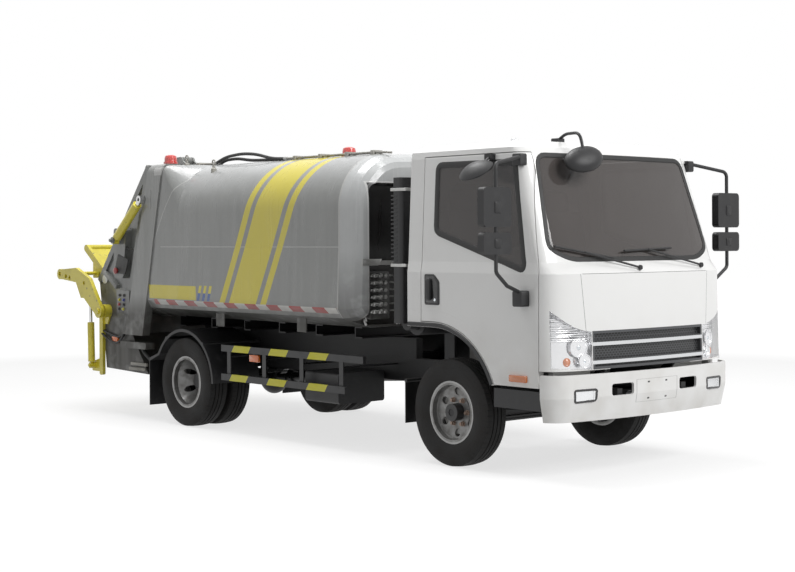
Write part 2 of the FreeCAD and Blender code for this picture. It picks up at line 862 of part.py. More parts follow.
def lamp_items(side):
    return [
        (lamp_outer * side, lamp_low), (lamp_outer * side, lamp_outer_top),
        (lamp_dip_y * side, lamp_dip_z, lamp_inner * side, lamp_inner_top),
        (lamp_inner * side, lamp_inner_low),
    ]


# Grille: a frame between the lamps with two bright bars before a slatted plate.
grille_half = 590.0
grille_top_half = 590.0
grille_low = 742.0
grille_top = 1000.0
grille_bar_z = (793.0, 916.0)
grille_bar_height = 34.0
grille_rim = 18.0
mesh_back = 26.0
mesh_thick = 10.0


def grille_items():
    return [
        (-grille_half, grille_low), (grille_half, grille_low),
        (grille_top_half, grille_top), (-grille_top_half, grille_top),
    ]


def grille(skin):
    """The frame, the bars and the slats, cut from the curve of the cab's front."""
    far = cab_nose_x + overrun
    field = skin.common(grown_front_plate(grille_items(), -seat_gap, skin_split_x, far))
    hole = grown_front_plate(grille_items(), -grille_rim, skin_split_x, far)
    frame = field.cut(hole)
    pieces = [frame]
    for z in grille_bar_z:
        pieces.append(field.common(block(skin_split_x, far, -overrun * 3, overrun * 3,
                                         z - grille_bar_height / 2, z + grille_bar_height / 2)))
    inner = cab_form(mesh_back).cut(cab_form(mesh_back + mesh_thick))
    pieces.append(inner.common(grown_front_plate(grille_items(), -seat_gap, skin_split_x, far)))
    return fused(pieces)


# Door fittings: the arm of tube that carries the mirrors, and its two heads.
mirror_arm_radius = 13.0
mirror_arm_bend = 45.0
mirror_arm_x = 822.0
mirror_arm_y = 1240.0
mirror_arm_top_z = 2120.0
mirror_root_x = 715.0
mirror_root_z = 2188.0
mirror_foot_x = 790.0
mirror_foot_z = 1235.0
mirror_bend_y = 1120.0
mirror_bend_z = 1310.0
mirror_head_half = 129.0
mirror_head_low = 1700.0
mirror_head_top = 1962.0
mirror_head_thick = 60.0
wide_head_low = 1520.0
wide_head_top = 1665.0
mirror_corner = 30.0
mirror_root = 30.0
# The kerb mirror, on the right door alone: a dome that looks down at the ground beside the cab.
kerb_block_x = 437.0
kerb_block_half = 37.0
kerb_block_low_z = 2168.0
kerb_block_top_z = 2207.0
kerb_block_out = 45.0
kerb_neck_radius = 12.0
kerb_dish_x = 453.0
kerb_dish_y = 1060.0
kerb_dish_z = 2092.0
kerb_dish_radius = 125.0
kerb_dish_rise = 52.0
kerb_dish_rim = 10.0
kerb_dish_lean = 32.0


def kerb_mirror(side):
    """A domed mirror leaning outward on a neck from a block at the door's top."""
    skin = gutter_half * side
    root = block(kerb_block_x - kerb_block_half, kerb_block_x + kerb_block_half,
                 skin - mirror_root * side, skin + kerb_block_out * side,
                 kerb_block_low_z, kerb_block_top_z)
    middle = V(kerb_dish_x, kerb_dish_y * side, kerb_dish_z)
    ball = (kerb_dish_radius ** 2 + kerb_dish_rise ** 2) / (2 * kerb_dish_rise)
    cap = bar(middle, middle + V(0, 0, ball), ball)
    dome = Part.makeSphere(ball, middle + V(0, 0, kerb_dish_rise - ball)).common(cap)
    dish = dome.fuse(bar(middle - V(0, 0, kerb_dish_rim), middle, kerb_dish_radius))
    dish.rotate(middle, V(1, 0, 0), -kerb_dish_lean * side)
    neck_top = (kerb_block_x, skin + kerb_block_out / 2 * side,
                (kerb_block_low_z + kerb_block_top_z) / 2)
    return [root, bar(neck_top, middle, kerb_neck_radius), dish]


def door_fittings(name, side):
    top_y = (gutter_half - mirror_root) * side
    foot_y = (cab_half_width - mirror_root) * side
    arm_y = mirror_arm_y * side
    arm = bent_bar([
        (mirror_root_x, top_y, mirror_root_z),
        (mirror_arm_x, arm_y, mirror_arm_top_z),
        (mirror_arm_x, arm_y, mirror_bend_z + mirror_arm_bend * 2),
        (mirror_foot_x + mirror_root / 2, mirror_bend_y * side, mirror_bend_z),
        (mirror_foot_x, foot_y, mirror_foot_z),
    ], mirror_arm_radius, mirror_arm_bend)
    pieces = [arm]
    for low, high in ((mirror_head_low, mirror_head_top), (wide_head_low, wide_head_top)):
        items = rounded([
            (arm_y - mirror_head_half, low), (arm_y + mirror_head_half, low),
            (arm_y + mirror_head_half, high), (arm_y - mirror_head_half, high),
        ], mirror_corner)
        pieces.append(front_plate(items, mirror_arm_x - mirror_head_thick * 2 / 3,
                                  mirror_arm_x + mirror_head_thick / 3))
    if name == "right":
        pieces += kerb_mirror(side)
    return pieces


# The mirror ahead of the screen's top, and the wipers below it.
front_mirror_foot_x = 620.0
front_mirror_foot_y = -421.0
front_mirror_foot_radius = 28.0
front_mirror_foot_height = 14.0
front_mirror_arm_radius = 10.0
front_mirror_bend = 35.0
front_mirror_arm_z = 2350.0
front_mirror_dish_x = 900.0
front_mirror_inner_y = -277.0
front_mirror_outer_y = -664.0
front_mirror_low_z = 2070.0
front_mirror_top_z = 2250.0
front_mirror_thick = 46.0
front_mirror_corner = 86.0
wiper_spots = [
    ((-91.0, 1420.0), (-300.0, 1487.0), (-820.0, 1570.0)),
    ((633.0, 1427.0), (343.0, 1552.0), (-181.0, 1536.0)),
]
wiper_stand = 16.0
wiper_radius = 7.0
wiper_boss_radius = 17.0


def front_mirror():
    """An oval mirror on a goose-neck tube from the cab's roof."""
    x, y = front_mirror_foot_x, front_mirror_foot_y
    root = cab_roof_z + seat_gap
    foot = bar((x, y, root), (x, y, root + front_mirror_foot_height), front_mirror_foot_radius)
    middle_y = (front_mirror_inner_y + front_mirror_outer_y) / 2
    rise_x = x + front_mirror_bend * 2
    neck = bent_bar([
        (x, y, root + front_mirror_foot_height), (rise_x, y, front_mirror_arm_z),
        (front_mirror_dish_x - front_mirror_bend, middle_y, front_mirror_arm_z),
        (front_mirror_dish_x, middle_y, front_mirror_top_z - front_mirror_corner),
    ], front_mirror_arm_radius, front_mirror_bend)
    items = rounded([
        (front_mirror_inner_y, front_mirror_low_z), (front_mirror_outer_y, front_mirror_low_z),
        (front_mirror_outer_y, front_mirror_top_z), (front_mirror_inner_y, front_mirror_top_z),
    ], front_mirror_corner)
    half = front_mirror_thick / 2
    dish = front_plate(items, front_mirror_dish_x - half, front_mirror_dish_x + half)
    return fused([foot, neck, dish])


def front_x(y, z):
    """The x of the cab's front at one place near its middle."""
    rows = [
        (belt_z, cab_half_width, belt_nose_x), (screen_foot_z, screen_foot_half, screen_foot_x),
        (screen_top_z, screen_top_half, screen_top_x),
    ]
    for (low, low_half, low_x), (high, high_half, high_x) in zip(rows, rows[1:]):
        if z <= high:
            break
    share = (z - low) / (high - low)
    half = low_half + (high_half - low_half) * share
    bow = cab_bow * (y / (half * cab_corner_share)) ** 2
    return low_x + (high_x - low_x) * share - bow


def wiper(spots):
    """A pivot boss, an arm to the blade's middle, and the blade before the screen."""
    (pivot_y, pivot_z), start, end = spots
    middle = ((start[0] + end[0]) / 2, (start[1] + end[1]) / 2)
    pivot_x = front_x(pivot_y, pivot_z)
    stand = wiper_stand * 3 / 2

    def place(y, z):
        return (front_x(y, z) + stand, y, z)
    near_x = pivot_x + wiper_boss_radius + seat_gap
    far_x = near_x + wiper_stand
    boss = bar((near_x, pivot_y, pivot_z), (far_x, pivot_y, pivot_z), wiper_boss_radius)
    arm = bar((far_x - wiper_radius, pivot_y, pivot_z), place(*middle), wiper_radius)
    blade = bar(place(*start), place(*end), wiper_radius)
    return fused([boss, arm, blade])


# Inside the cab: two seats, the instrument panel and the steering wheel.
seat_front_x = 330.0
seat_rear_x = -230.0
seat_half = 240.0
seat_middle_y = 480.0
seat_base_z = arch_top_z + floor_thick
cushion_top_z = 1260.0
backrest_top_z = 1830.0
backrest_thick = 130.0
backrest_lean = 90.0
seat_waist = 60.0


def seat(y):
    """A seat seen from the side: a cushion on its base, and a leaning back."""
    low = seat_base_z + seat_gap
    items = [
        (seat_rear_x, low), (seat_front_x - seat_waist * 2, low),
        (seat_front_x, cushion_top_z - seat_waist), (seat_front_x - seat_waist / 2, cushion_top_z),
        (seat_rear_x + backrest_thick, cushion_top_z - seat_waist / 2),
        (seat_rear_x + backrest_thick - backrest_lean, backrest_top_z),
        (seat_rear_x - backrest_lean, backrest_top_z),
    ]
    return side_plate(items, y - seat_half, y + seat_half)


dash_rear_x = 560.0
dash_front_x = 1000.0
dash_low_z = 1060.0
dash_top_z = 1420.0
dash_hood_z = 1380.0
dash_side = 790.0
dash_drop = 60.0
column_radius = 26.0
column_length = 300.0


def dashboard():
    """The instrument panel across the cab, under the windscreen."""
    items = [
        (dash_front_x, dash_low_z), (dash_front_x, dash_hood_z),
        (dash_rear_x + dash_drop * 3, dash_top_z), (dash_rear_x + dash_drop, dash_top_z),
        (dash_rear_x, dash_top_z - dash_drop * 2), (dash_rear_x + dash_drop, dash_low_z),
    ]
    panel = side_plate(items, -dash_side, dash_side)
    hub, axis = steering_axis()
    shaft = bar(hub, hub - axis * (column_length + seat_gap), column_radius + seat_gap)
    return panel.common(cab_form(cab_wall + seat_gap)).cut(shaft)


wheel_hub_x = 420.0
wheel_hub_z = 1400.0
steering_radius = 205.0
steering_grip = 15.0
steering_rake_deg = 55.0
spoke_count = 3


def steering_axis():
    """The middle of the steering wheel, and the direction from its column to the driver."""
    rake = math.radians(steering_rake_deg)
    hub = V(wheel_hub_x, seat_middle_y, wheel_hub_z)
    return hub, V(-math.cos(rake), 0, math.sin(rake))


def steering_wheel():
    """The driver's wheel on its column, on the left of the cab."""
    hub, axis = steering_axis()
    rim_ring = Part.makeTorus(steering_radius, steering_grip, hub, axis)
    column = bar(hub, hub - axis * (column_length), column_radius)
    pieces = [rim_ring, column]
    across = V(0, 1, 0)
    up = axis.cross(across)
    for i in range(spoke_count):
        turn = math.radians(full_turn / spoke_count * i + full_turn / 4)
        reach = across * math.cos(turn) + up * math.sin(turn)
        pieces.append(bar(hub, hub + reach * steering_radius, steering_grip * 2 / 3))
    return fused(pieces)


# Front bumper: a bowed steel pressing with its corners turned back, and lamp pockets.
bumper_nose_x = 1156.0
bumper_bow = 62.0
bumper_brow_half = 790.0
bumper_top_z = 716.0
bumper_low_z = 400.0
bumper_half = 966.0
bumper_thick = 18.0
bumper_end_x = 950.0
bumper_turn_x = 1046.0
bumper_turn_y = 912.0
bumper_foot_inset = 30.0
fog_lamp_y = 690.0
fog_lamp_z = 575.0
fog_lamp_half = 85.0
fog_lamp_height = 38.0
vent_y = 350.0
vent_half = 105.0
vent_low = 560.0
vent_top = 640.0
vent_corner = 18.0


def bumper_wire(inset, foot, z):
    """The plan of the bumper at one height, a bowed strip with both ends turned back."""
    nose = bumper_nose_x - inset - foot
    half = bumper_half - inset - foot
    turn_x = bumper_turn_x - inset - foot
    turn_y = bumper_turn_y - (inset + foot) / 2
    brow = bumper_brow_half
    items = [
        (bumper_end_x, -half), (turn_x, -turn_y, nose - bumper_bow, -brow),
        (nose, 0, nose - bumper_bow, brow), (turn_x, turn_y, bumper_end_x, half),
    ]
    return loop(items, lambda x, y: V(x, y, z))


def front_bumper():
    low = Part.makeLoft([bumper_wire(0, bumper_foot_inset, bumper_low_z),
                         bumper_wire(0, 0, vent_low), bumper_wire(0, 0, bumper_top_z)],
                        True, True)
    back = bumper_low_z - overrun
    room = Part.makeLoft([bumper_wire(bumper_thick, bumper_foot_inset, back),
                          bumper_wire(bumper_thick, bumper_foot_inset, bumper_low_z),
                          bumper_wire(bumper_thick, 0, vent_low),
                          bumper_wire(bumper_thick, 0, bumper_top_z + overrun)], True, True)
    shell = low.cut(room)
    shell = shell.cut(block(bumper_end_x - overrun, bumper_end_x + seat_gap,
                            -bumper_half + bumper_thick, bumper_half - bumper_thick,
                            -overrun, overrun * 3))
    for side in sides.values():
        shell = shell.cut(front_plate(fog_items(side), bumper_end_x, bumper_nose_x + overrun))
        shell = shell.cut(front_plate(vent_items(side), bumper_end_x, bumper_nose_x + overrun))
    return shell


def fog_items(side):
    y = fog_lamp_y * side
    return rounded([
        (y - fog_lamp_half, fog_lamp_z - fog_lamp_height),
        (y + fog_lamp_half, fog_lamp_z - fog_lamp_height),
        (y + fog_lamp_half, fog_lamp_z + fog_lamp_height),
        (y - fog_lamp_half, fog_lamp_z + fog_lamp_height),
    ], vent_corner)


def vent_items(side):
    y = vent_y * side
    return rounded([
        (y - vent_half, vent_low), (y + vent_half, vent_low),
        (y + vent_half, vent_top), (y - vent_half, vent_top),
    ], vent_corner)


def fog_lamps():
    """The lamps in the bumper's pockets, a lens shape cut from the bumper's own curve."""
    skin = Part.makeLoft([bumper_wire(seat_gap, 0, vent_low - overrun),
                          bumper_wire(seat_gap, 0, bumper_top_z + overrun)], True, True)
    skin = skin.cut(Part.makeLoft([bumper_wire(bumper_thick, 0, vent_low - overrun),
                                   bumper_wire(bumper_thick, 0, bumper_top_z + overrun)],
                                  True, True))
    lamps = []
    for side in sides.values():
        lamps.append(skin.common(grown_front_plate(fog_items(side), -seat_gap, bumper_end_x,
                                                   bumper_nose_x + overrun)))
    return lamps


# Bumper brackets and the stepped panels under the doors, hung from the rails.
bracket_half = 25.0
bracket_top_z = 600.0
bracket_low_z = 520.0
step_front_x = 930.0
step_rear_x = 480.0
step_low_z = 470.0
step_top_z = 600.0
step_outer = 925.0
step_wall = 24.0
step_tread_z = 500.0


def bumper_brackets():
    pieces = []
    front = bumper_nose_x - bumper_thick - bumper_bow / 2
    for side in sides.values():
        y = (rail_half_width - rail_flange / 2) * side
        pieces.append(block(rail_front_x + seat_gap, front, y - bracket_half, y + bracket_half,
                            bracket_low_z, bracket_top_z))
    return pieces


tread_depth = 240.0
step_stay_x = 645.0
step_inner = 450.0


def step_panel(side):
    """A pressed tray: an outer skirt, a tread, and a stay to the rail."""
    inner = rail_half_width + seat_gap
    skirt = step_outer - step_wall
    tread = skirt - tread_depth
    items = [
        (inner, step_low_z), (step_outer, step_low_z), (step_outer, step_top_z),
        (skirt, step_top_z), (skirt, step_tread_z), (tread, step_tread_z),
        (tread, step_tread_z + step_wall), (inner, step_tread_z + step_wall),
    ]
    items = [(y * side, z) for y, z in items]
    tray = front_plate(items, step_rear_x, step_front_x)
    return tray.cut(block(step_rear_x - overrun, step_stay_x, 0, step_inner * side,
                          -overrun, overrun * 2))


# Container: a rolled barrel of plain section with a floor, and a lighter front cap.
body_front_x = -1107.0
cap_depth = 217.0
cap_round = 115.0
cap_rings = 4
body_wall = 30.0
chine_in_share = 0.8
chine_up_share = 0.6
foot_up_share = 0.3
belly_half = 700.0
chine_half = 966.0
chine_z = 1022.0
side_foot_z = 1090.0
seam_half = 1002.0
seam_z = 1566.0
shoulder_half = 1000.0
shoulder_radius = 432.0
shoulder_top_z = 2290.0
joint_top_behind = 495.0
joint_top_x = rear_axle_x - joint_top_behind
joint_top_z = 2289.0
joint_foot_behind = 905.0
joint_foot_x = rear_axle_x - joint_foot_behind
joint_foot_z = 765.0
post_top_width = 221.0
post_foot_width = 296.0
square_start_behind = 30.0
square_start_x = rear_axle_x - square_start_behind
square_end_behind = 260.0
square_end_x = rear_axle_x - square_end_behind
square_half = 1006.0
square_radius = 75.0
leg_top_z = 1090.0
leg_inner = 940.0


def body_items(inset, square):
    """The container's cross-section moved inward by the inset. Square runs from 0 to 1."""
    def blend(plain, squared):
        return plain + (squared - plain) * square
    floor = body_floor_z + inset
    top = shoulder_top_z - inset
    crown = body_roof_z - inset
    radius = blend(shoulder_radius, square_radius)
    half = blend(shoulder_half, square_half)
    reach = half - inset
    bend = radius - inset * radius / shoulder_radius
    centre_z = top - bend
    centre_y = reach - bend
    diagonal = math.radians(full_turn / 8)
    mid_y = centre_y + bend * math.cos(diagonal)
    mid_z = centre_z + bend * math.sin(diagonal)
    belly = belly_half - inset / 3
    side = blend(body_half_width, square_half) - inset
    chine = chine_half - inset * chine_in_share
    rise = chine_z + inset * chine_up_share
    foot = side_foot_z + inset * foot_up_share
    seam = blend(seam_half, square_half) - inset
    return [
        (-belly, floor), (belly, floor), (chine, rise), (side, foot),
        (seam, seam_z), (reach, centre_z), (mid_y, mid_z, centre_y, top),
        (0, crown, -centre_y, top), (-mid_y, mid_z, -reach, centre_z), (-seam, seam_z),
        (-side, foot), (-chine, rise),
    ]


def body_section(x, inset, square=0):
    return loop(body_items(inset, square), lambda y, z: V(x, y, z))


def body_space(front, rear, inset):
    """The container's form from front to rear: plain, then squared up to its rear frame."""
    plain = Part.Face(body_section(square_start_x, inset)).extrude(
        V(front - square_start_x, 0, 0))
    change = Part.makeLoft([body_section(square_start_x, inset),
                            body_section(square_end_x, inset, 1)], True, True)
    square = Part.Face(body_section(rear, inset, 1)).extrude(V(square_end_x - rear, 0, 0))
    return fused([plain, change, square])


def behind_slope(top_x, foot_x, reach):
    """All that lies behind a sloped cross plane, or ahead of it where reach is positive."""
    slope = (foot_x - top_x) / (joint_foot_z - joint_top_z)
    high = joint_top_z + overrun
    low = joint_foot_z - overrun
    high_x = top_x + (high - joint_top_z) * slope
    low_x = top_x + (low - joint_top_z) * slope
    items = [(high_x, high), (low_x, low), (low_x + reach, low), (high_x + reach, high)]
    return side_plate(items, -overrun * 4, overrun * 4)


def barrel():
    """The rolled sheet, open at both ends, down to the slanted frame behind it."""
    rear = joint_foot_x - overrun
    outer = body_space(body_front_x, rear, 0)
    inner = body_space(body_front_x + overrun, rear - overrun, body_wall)
    post = behind_slope(joint_top_x + post_top_width, joint_foot_x + post_foot_width,
                        -overrun * 4)
    return outer.cut(inner).cut(post)


frame_proud = 12.0
frame_wall = 62.0
leg_share = 0.78


def frame_leg(side):
    """The foot of a rear post, below the container's floor."""
    width = post_top_width + (post_foot_width - post_top_width) * leg_share
    items = [
        (joint_foot_x, joint_foot_z), (joint_x(leg_top_z) + joint_gap, leg_top_z),
        (joint_x(leg_top_z) + joint_gap + width, leg_top_z),
        (joint_foot_x + post_foot_width, joint_foot_z),
    ]
    return side_plate(items, leg_inner * side, (square_half + frame_proud) * side)


def rear_frame():
    """The box-section frame round the container's rear mouth, on two legs."""
    rear = joint_foot_x - overrun
    depth = joint_top_x + overrun * 2 - rear
    outer = Part.Face(body_section(rear, -frame_proud, 1)).extrude(V(depth, 0, 0))
    inner = Part.Face(body_section(rear - overrun, frame_wall, 1)).extrude(
        V(depth + overrun * 2, 0, 0))
    ring = outer.cut(inner)
    ahead = behind_slope(joint_top_x + post_top_width - seat_gap,
                         joint_foot_x + post_foot_width - seat_gap, overrun * 6)
    ring = ring.cut(ahead).cut(behind_slope(joint_top_x, joint_foot_x, -overrun * 6))
    return fused([ring] + pair(frame_leg))


cap_opening_half = 880.0
cap_opening_low = 968.0
cap_opening_top = 2049.0
cap_opening_corner = 70.0
cap_bar_low = 1400.0
cap_bar_high = 1460.0
bulkhead_depth = 26.0


def front_cap():
    """The cap's rounded rim and top, with the bar across its opening."""
    def rings(inset, front):
        wires = []
        for i in range(cap_rings + 1):
            turn = math.radians(full_turn / 4) * i / cap_rings
            wires.append(body_section(front + cap_depth * math.sin(turn),
                                      inset + cap_round * (1 - math.cos(turn))))
        return Part.makeLoft(wires, True, True)
    start = body_front_x + seat_gap
    outer = rings(0, start)
    inner = rings(body_wall, start - body_wall)
    opening = front_plate(rounded([
        (-cap_opening_half, cap_opening_low), (cap_opening_half, cap_opening_low),
        (cap_opening_half, cap_opening_top), (-cap_opening_half, cap_opening_top),
    ], cap_opening_corner), start, start + overrun)
    shell = outer.cut(inner).cut(opening)
    rail_x = start + cap_depth
    bar_piece = block(rail_x - body_wall, rail_x, -cap_opening_half - seat_gap * 2,
                      cap_opening_half + seat_gap * 2, cap_bar_low, cap_bar_high)
    plate = Part.Face(body_section(start, body_wall / 2)).extrude(V(bulkhead_depth, 0, 0))
    return fused([shell, bar_piece, plate])


# Ejector: a plate on a sled that pushes the load out over the container's floor.
ejector_x = -1480.0
ejector_gap = 14.0
ejector_thick = 60.0
sled_length = 240.0
sled_height = 60.0


def ejector():
    front = ejector_x - ejector_thick
    plate = Part.Face(body_section(front, body_wall + ejector_gap)).extrude(
        V(ejector_thick, 0, 0))
    floor = body_floor_z + body_wall + ejector_gap
    runners = []
    for side in sides.values():
        near, far = sorted((belly_half / 3 * side, belly_half / 2 * side))
        runners.append(block(front, ejector_x + sled_length, near, far,
                             floor - ejector_gap + seat_gap, floor + sled_height))
    return fused([plate] + runners)


# Subframe: two long sills on the rails, and the cross bearers under the container.
sill_half_width = 32.5
sill_front_x = -930.0
sill_rear_behind = 560.0
sill_rear_x = rear_axle_x - sill_rear_behind
bearer_low_z = 850.0
bearer_half = 700.0
bearer_length = 90.0
bearer_count = 6
bearer_lip = 40.0


def subframe_sill(side):
    y = (rail_half_width - rail_flange / 2) * side
    near, far = sorted((y - sill_half_width, y + sill_half_width))
    return block(sill_rear_x, sill_front_x, near, far, rail_top_z + seat_gap,
                 bearer_low_z - seat_gap)


def bearers():
    pieces = []
    first = sill_front_x - bearer_length * 3
    pitch = (sill_rear_x + bearer_length * 2 - first) / (bearer_count - 1)
    high = body_floor_z - seat_gap
    for i in range(bearer_count):
        x = first + i * pitch
        outer = block(x - bearer_length, x, -bearer_half, bearer_half, bearer_low_z, high)
        room = block(x - bearer_length + bearer_lip / 4, x + overrun, -bearer_half - overrun,
                     bearer_half + overrun, bearer_low_z + bearer_lip / 4,
                     high - bearer_lip / 4)
        pieces.append(outer.cut(room))
    return pieces


# Tail: the hinged rear body with two side walls, a hopper, a hood and its loading opening.
tail_hinge_behind = 480.0
tail_hinge_x = rear_axle_x - tail_hinge_behind
tail_hinge_z = 2346.0
tail_inner = 880.0
tail_wall = 50.0
tail_flange_out = 984.0
tail_flange_width = 80.0
tail_edge_width = 60.0
tail_edge_out = 948.0
tail_top_rear_behind = 635.0
tail_top_rear_x = rear_axle_x - tail_top_rear_behind
tail_top_rear_z = 2305.0
sill_behind = 1507.0
sill_x = rear_axle_x - sill_behind
sill_z = 1258.0
tail_low_behind = 1380.0
tail_low_x = rear_axle_x - tail_low_behind
tail_low_z = 430.0
tail_toe_behind = 627.0
tail_toe_x = rear_axle_x - tail_toe_behind
tail_toe_z = 410.0
joint_gap = 20.0
hood_thick = 26.0
hood_length = 620.0
hopper_rear_inset = 40.0
trough_mid_behind = 1120.0
trough_mid_x = rear_axle_x - trough_mid_behind
trough_mid_z = 889.0
trough_wall_behind = 1435.0
trough_wall_x = rear_axle_x - trough_wall_behind
trough_wall_z = 1046.0
lip_behind = 895.0
lip_x = rear_axle_x - lip_behind
lip_z = 946.0
channel_rear_behind = 1026.0
channel_rear_x = rear_axle_x - channel_rear_behind
channel_front_behind = 585.0
channel_front_x = rear_axle_x - channel_front_behind
channel_low_z = 640.0
channel_top_z = 700.0
panel_rear_behind = 1083.0
panel_rear_x = rear_axle_x - panel_rear_behind
panel_front_behind = 863.0
panel_front_x = rear_axle_x - panel_front_behind
panel_low_z = 953.0
panel_top_z = 1166.0
fitting_out = 998.0
fitting_corner = 18.0


def joint_x(z):
    """The x of the sealing plane between container and tail at one height."""
    slope = (joint_top_x - joint_foot_x) / (joint_top_z - joint_foot_z)
    return joint_foot_x + (z - joint_foot_z) * slope - joint_gap


def tail_outline():
    return [
        (joint_x(joint_top_z), joint_top_z), (joint_x(joint_foot_z), joint_foot_z),
        (tail_toe_x - joint_gap, tail_toe_z), (tail_low_x, tail_low_z), (sill_x, sill_z),
        (tail_top_rear_x, tail_top_rear_z),
    ]


def slope_point(along, inward):
    """A point given by its distance down the tail's rear slope and its depth under it."""
    run = V(sill_x - tail_top_rear_x, 0, sill_z - tail_top_rear_z).normalize()
    normal = V(-run.z, 0, run.x)
    spot = V(tail_top_rear_x, 0, tail_top_rear_z) + run * along + normal * inward
    return (spot.x, spot.z)


def slope_length():
    return math.hypot(sill_x - tail_top_rear_x, sill_z - tail_top_rear_z)


guide_depth = 196.0
guide_thick = 20.0
guide_gap = 84.0
guide_reach = 26.0
guide_start = 230.0
guide_end = 1100.0


def tail_side(side):
    """A side wall with its stiff front flange, its rear edge strip and its guide strips."""
    wall = side_plate(tail_outline(), tail_inner * side, (tail_inner + tail_wall) * side)
    flange = side_plate([
        (joint_x(joint_top_z), joint_top_z), (joint_x(joint_foot_z), joint_foot_z),
        (joint_x(joint_foot_z) - tail_flange_width, joint_foot_z),
        (joint_x(joint_top_z) - tail_flange_width, joint_top_z),
    ], tail_inner * side, tail_flange_out * side)
    length = slope_length()
    strip = side_plate([
        slope_point(0, 0), slope_point(length, 0), slope_point(length, tail_edge_width),
        slope_point(0, tail_edge_width),
    ], tail_inner * side, tail_edge_out * side)
    guides = []
    for depth in (guide_depth, guide_depth + guide_gap + guide_thick):
        guides.append(side_plate([
            slope_point(guide_start, depth), slope_point(guide_end, depth),
            slope_point(guide_end, depth + guide_thick), slope_point(guide_start, depth + guide_thick),
        ], (tail_inner - guide_reach) * side, (tail_inner + tail_wall / 2) * side))
    return fused([wall, flange, strip] + guides + tail_fittings(side))


def tail_fittings(side):
    """The box of the loading controls and the channel across the foot of the side wall."""
    near = (tail_inner + tail_wall / 2) * side
    far = fitting_out * side
    channel = rounded([
        (channel_rear_x, channel_low_z), (channel_front_x, channel_low_z),
        (channel_front_x, channel_top_z), (channel_rear_x, channel_top_z),
    ], fitting_corner)
    panel = rounded([
        (panel_rear_x, panel_low_z), (panel_front_x, panel_low_z),
        (panel_front_x, panel_top_z), (panel_rear_x, panel_top_z),
    ], fitting_corner)
    return [side_plate(channel, near, far), side_plate(panel, near, far)]


def hopper():
    """The trough between the side walls, from the loading sill to the container's floor."""
    inner = tail_inner - seat_gap
    items = [
        (lip_x, lip_z), (joint_x(lip_z), lip_z), (joint_x(joint_foot_z), joint_foot_z),
        (tail_toe_x - joint_gap, tail_toe_z), (tail_low_x, tail_low_z), (sill_x, sill_z),
        (sill_x + hopper_rear_inset, sill_z), (trough_wall_x, trough_wall_z),
        (trough_mid_x, trough_mid_z, lip_x, lip_z),
    ]
    return side_plate(items, -inner, inner)


def tail_hood():
    """The cover over the tail's top and the upper part of its rear slope."""
    inner = tail_inner - seat_gap
    items = [
        (joint_x(joint_top_z), joint_top_z), slope_point(0, 0), slope_point(hood_length, 0),
        slope_point(hood_length, hood_thick), slope_point(hood_thick, hood_thick),
        (joint_x(joint_top_z - hood_thick), joint_top_z - hood_thick),
    ]
    return side_plate(items, -inner, inner)


# Packing mechanism: a slide between guide strips, and the blade hinged at its lower edge.
slide_start = 260.0
slide_end = 790.0
slide_thick = 60.0
slide_middle = 258.0
slide_side_gap = 34.0
shoe_length = 110.0
shoe_clear = 6.0
blade_pivot = 830.0
blade_eye_radius = 34.0
blade_pin_radius = 18.0
blade_length = 400.0
blade_thick = 50.0
blade_rest_deg = 22.0
blade_side_gap = 34.0
eye_half_width = 45.0
eye_half_place = 560.0


def packer_slide():
    half = tail_inner - slide_side_gap
    low = slide_middle - slide_thick / 2
    high = slide_middle + slide_thick / 2
    plate = side_plate([
        slope_point(slide_start, low), slope_point(slide_end, low),
        slope_point(slide_end, high), slope_point(slide_start, high),
    ], -half, half)
    pieces = [plate]
    shoe_low = guide_depth + guide_thick + shoe_clear
    shoe_high = guide_depth + guide_thick + guide_gap - shoe_clear
    for side in sides.values():
        for start in (slide_start, slide_end - shoe_length):
            near = (half - shoe_length / 2) * side
            far = (tail_inner - shoe_clear) * side
            pieces.append(side_plate([
                slope_point(start, shoe_low), slope_point(start + shoe_length, shoe_low),
                slope_point(start + shoe_length, shoe_high), slope_point(start, shoe_high),
            ], near, far))
    pivot_x, pivot_z = slope_point(blade_pivot, slide_middle)
    for place_y in (-eye_half_place, 0, eye_half_place):
        eye = bar((pivot_x, place_y - eye_half_width, pivot_z),
                  (pivot_x, place_y + eye_half_width, pivot_z), blade_eye_radius)
        web = side_plate([
            slope_point(slide_end - slide_thick, low), slope_point(blade_pivot, low),
            slope_point(blade_pivot, high), slope_point(slide_end - slide_thick, high),
        ], place_y - eye_half_width, place_y + eye_half_width)
        hole = bar((pivot_x, place_y - overrun, pivot_z), (pivot_x, place_y + overrun, pivot_z),
                   blade_pin_radius + seat_gap)
        pieces.append(fused([eye, web]).cut(hole))
    return fused(pieces)


arm_width_share = 0.4


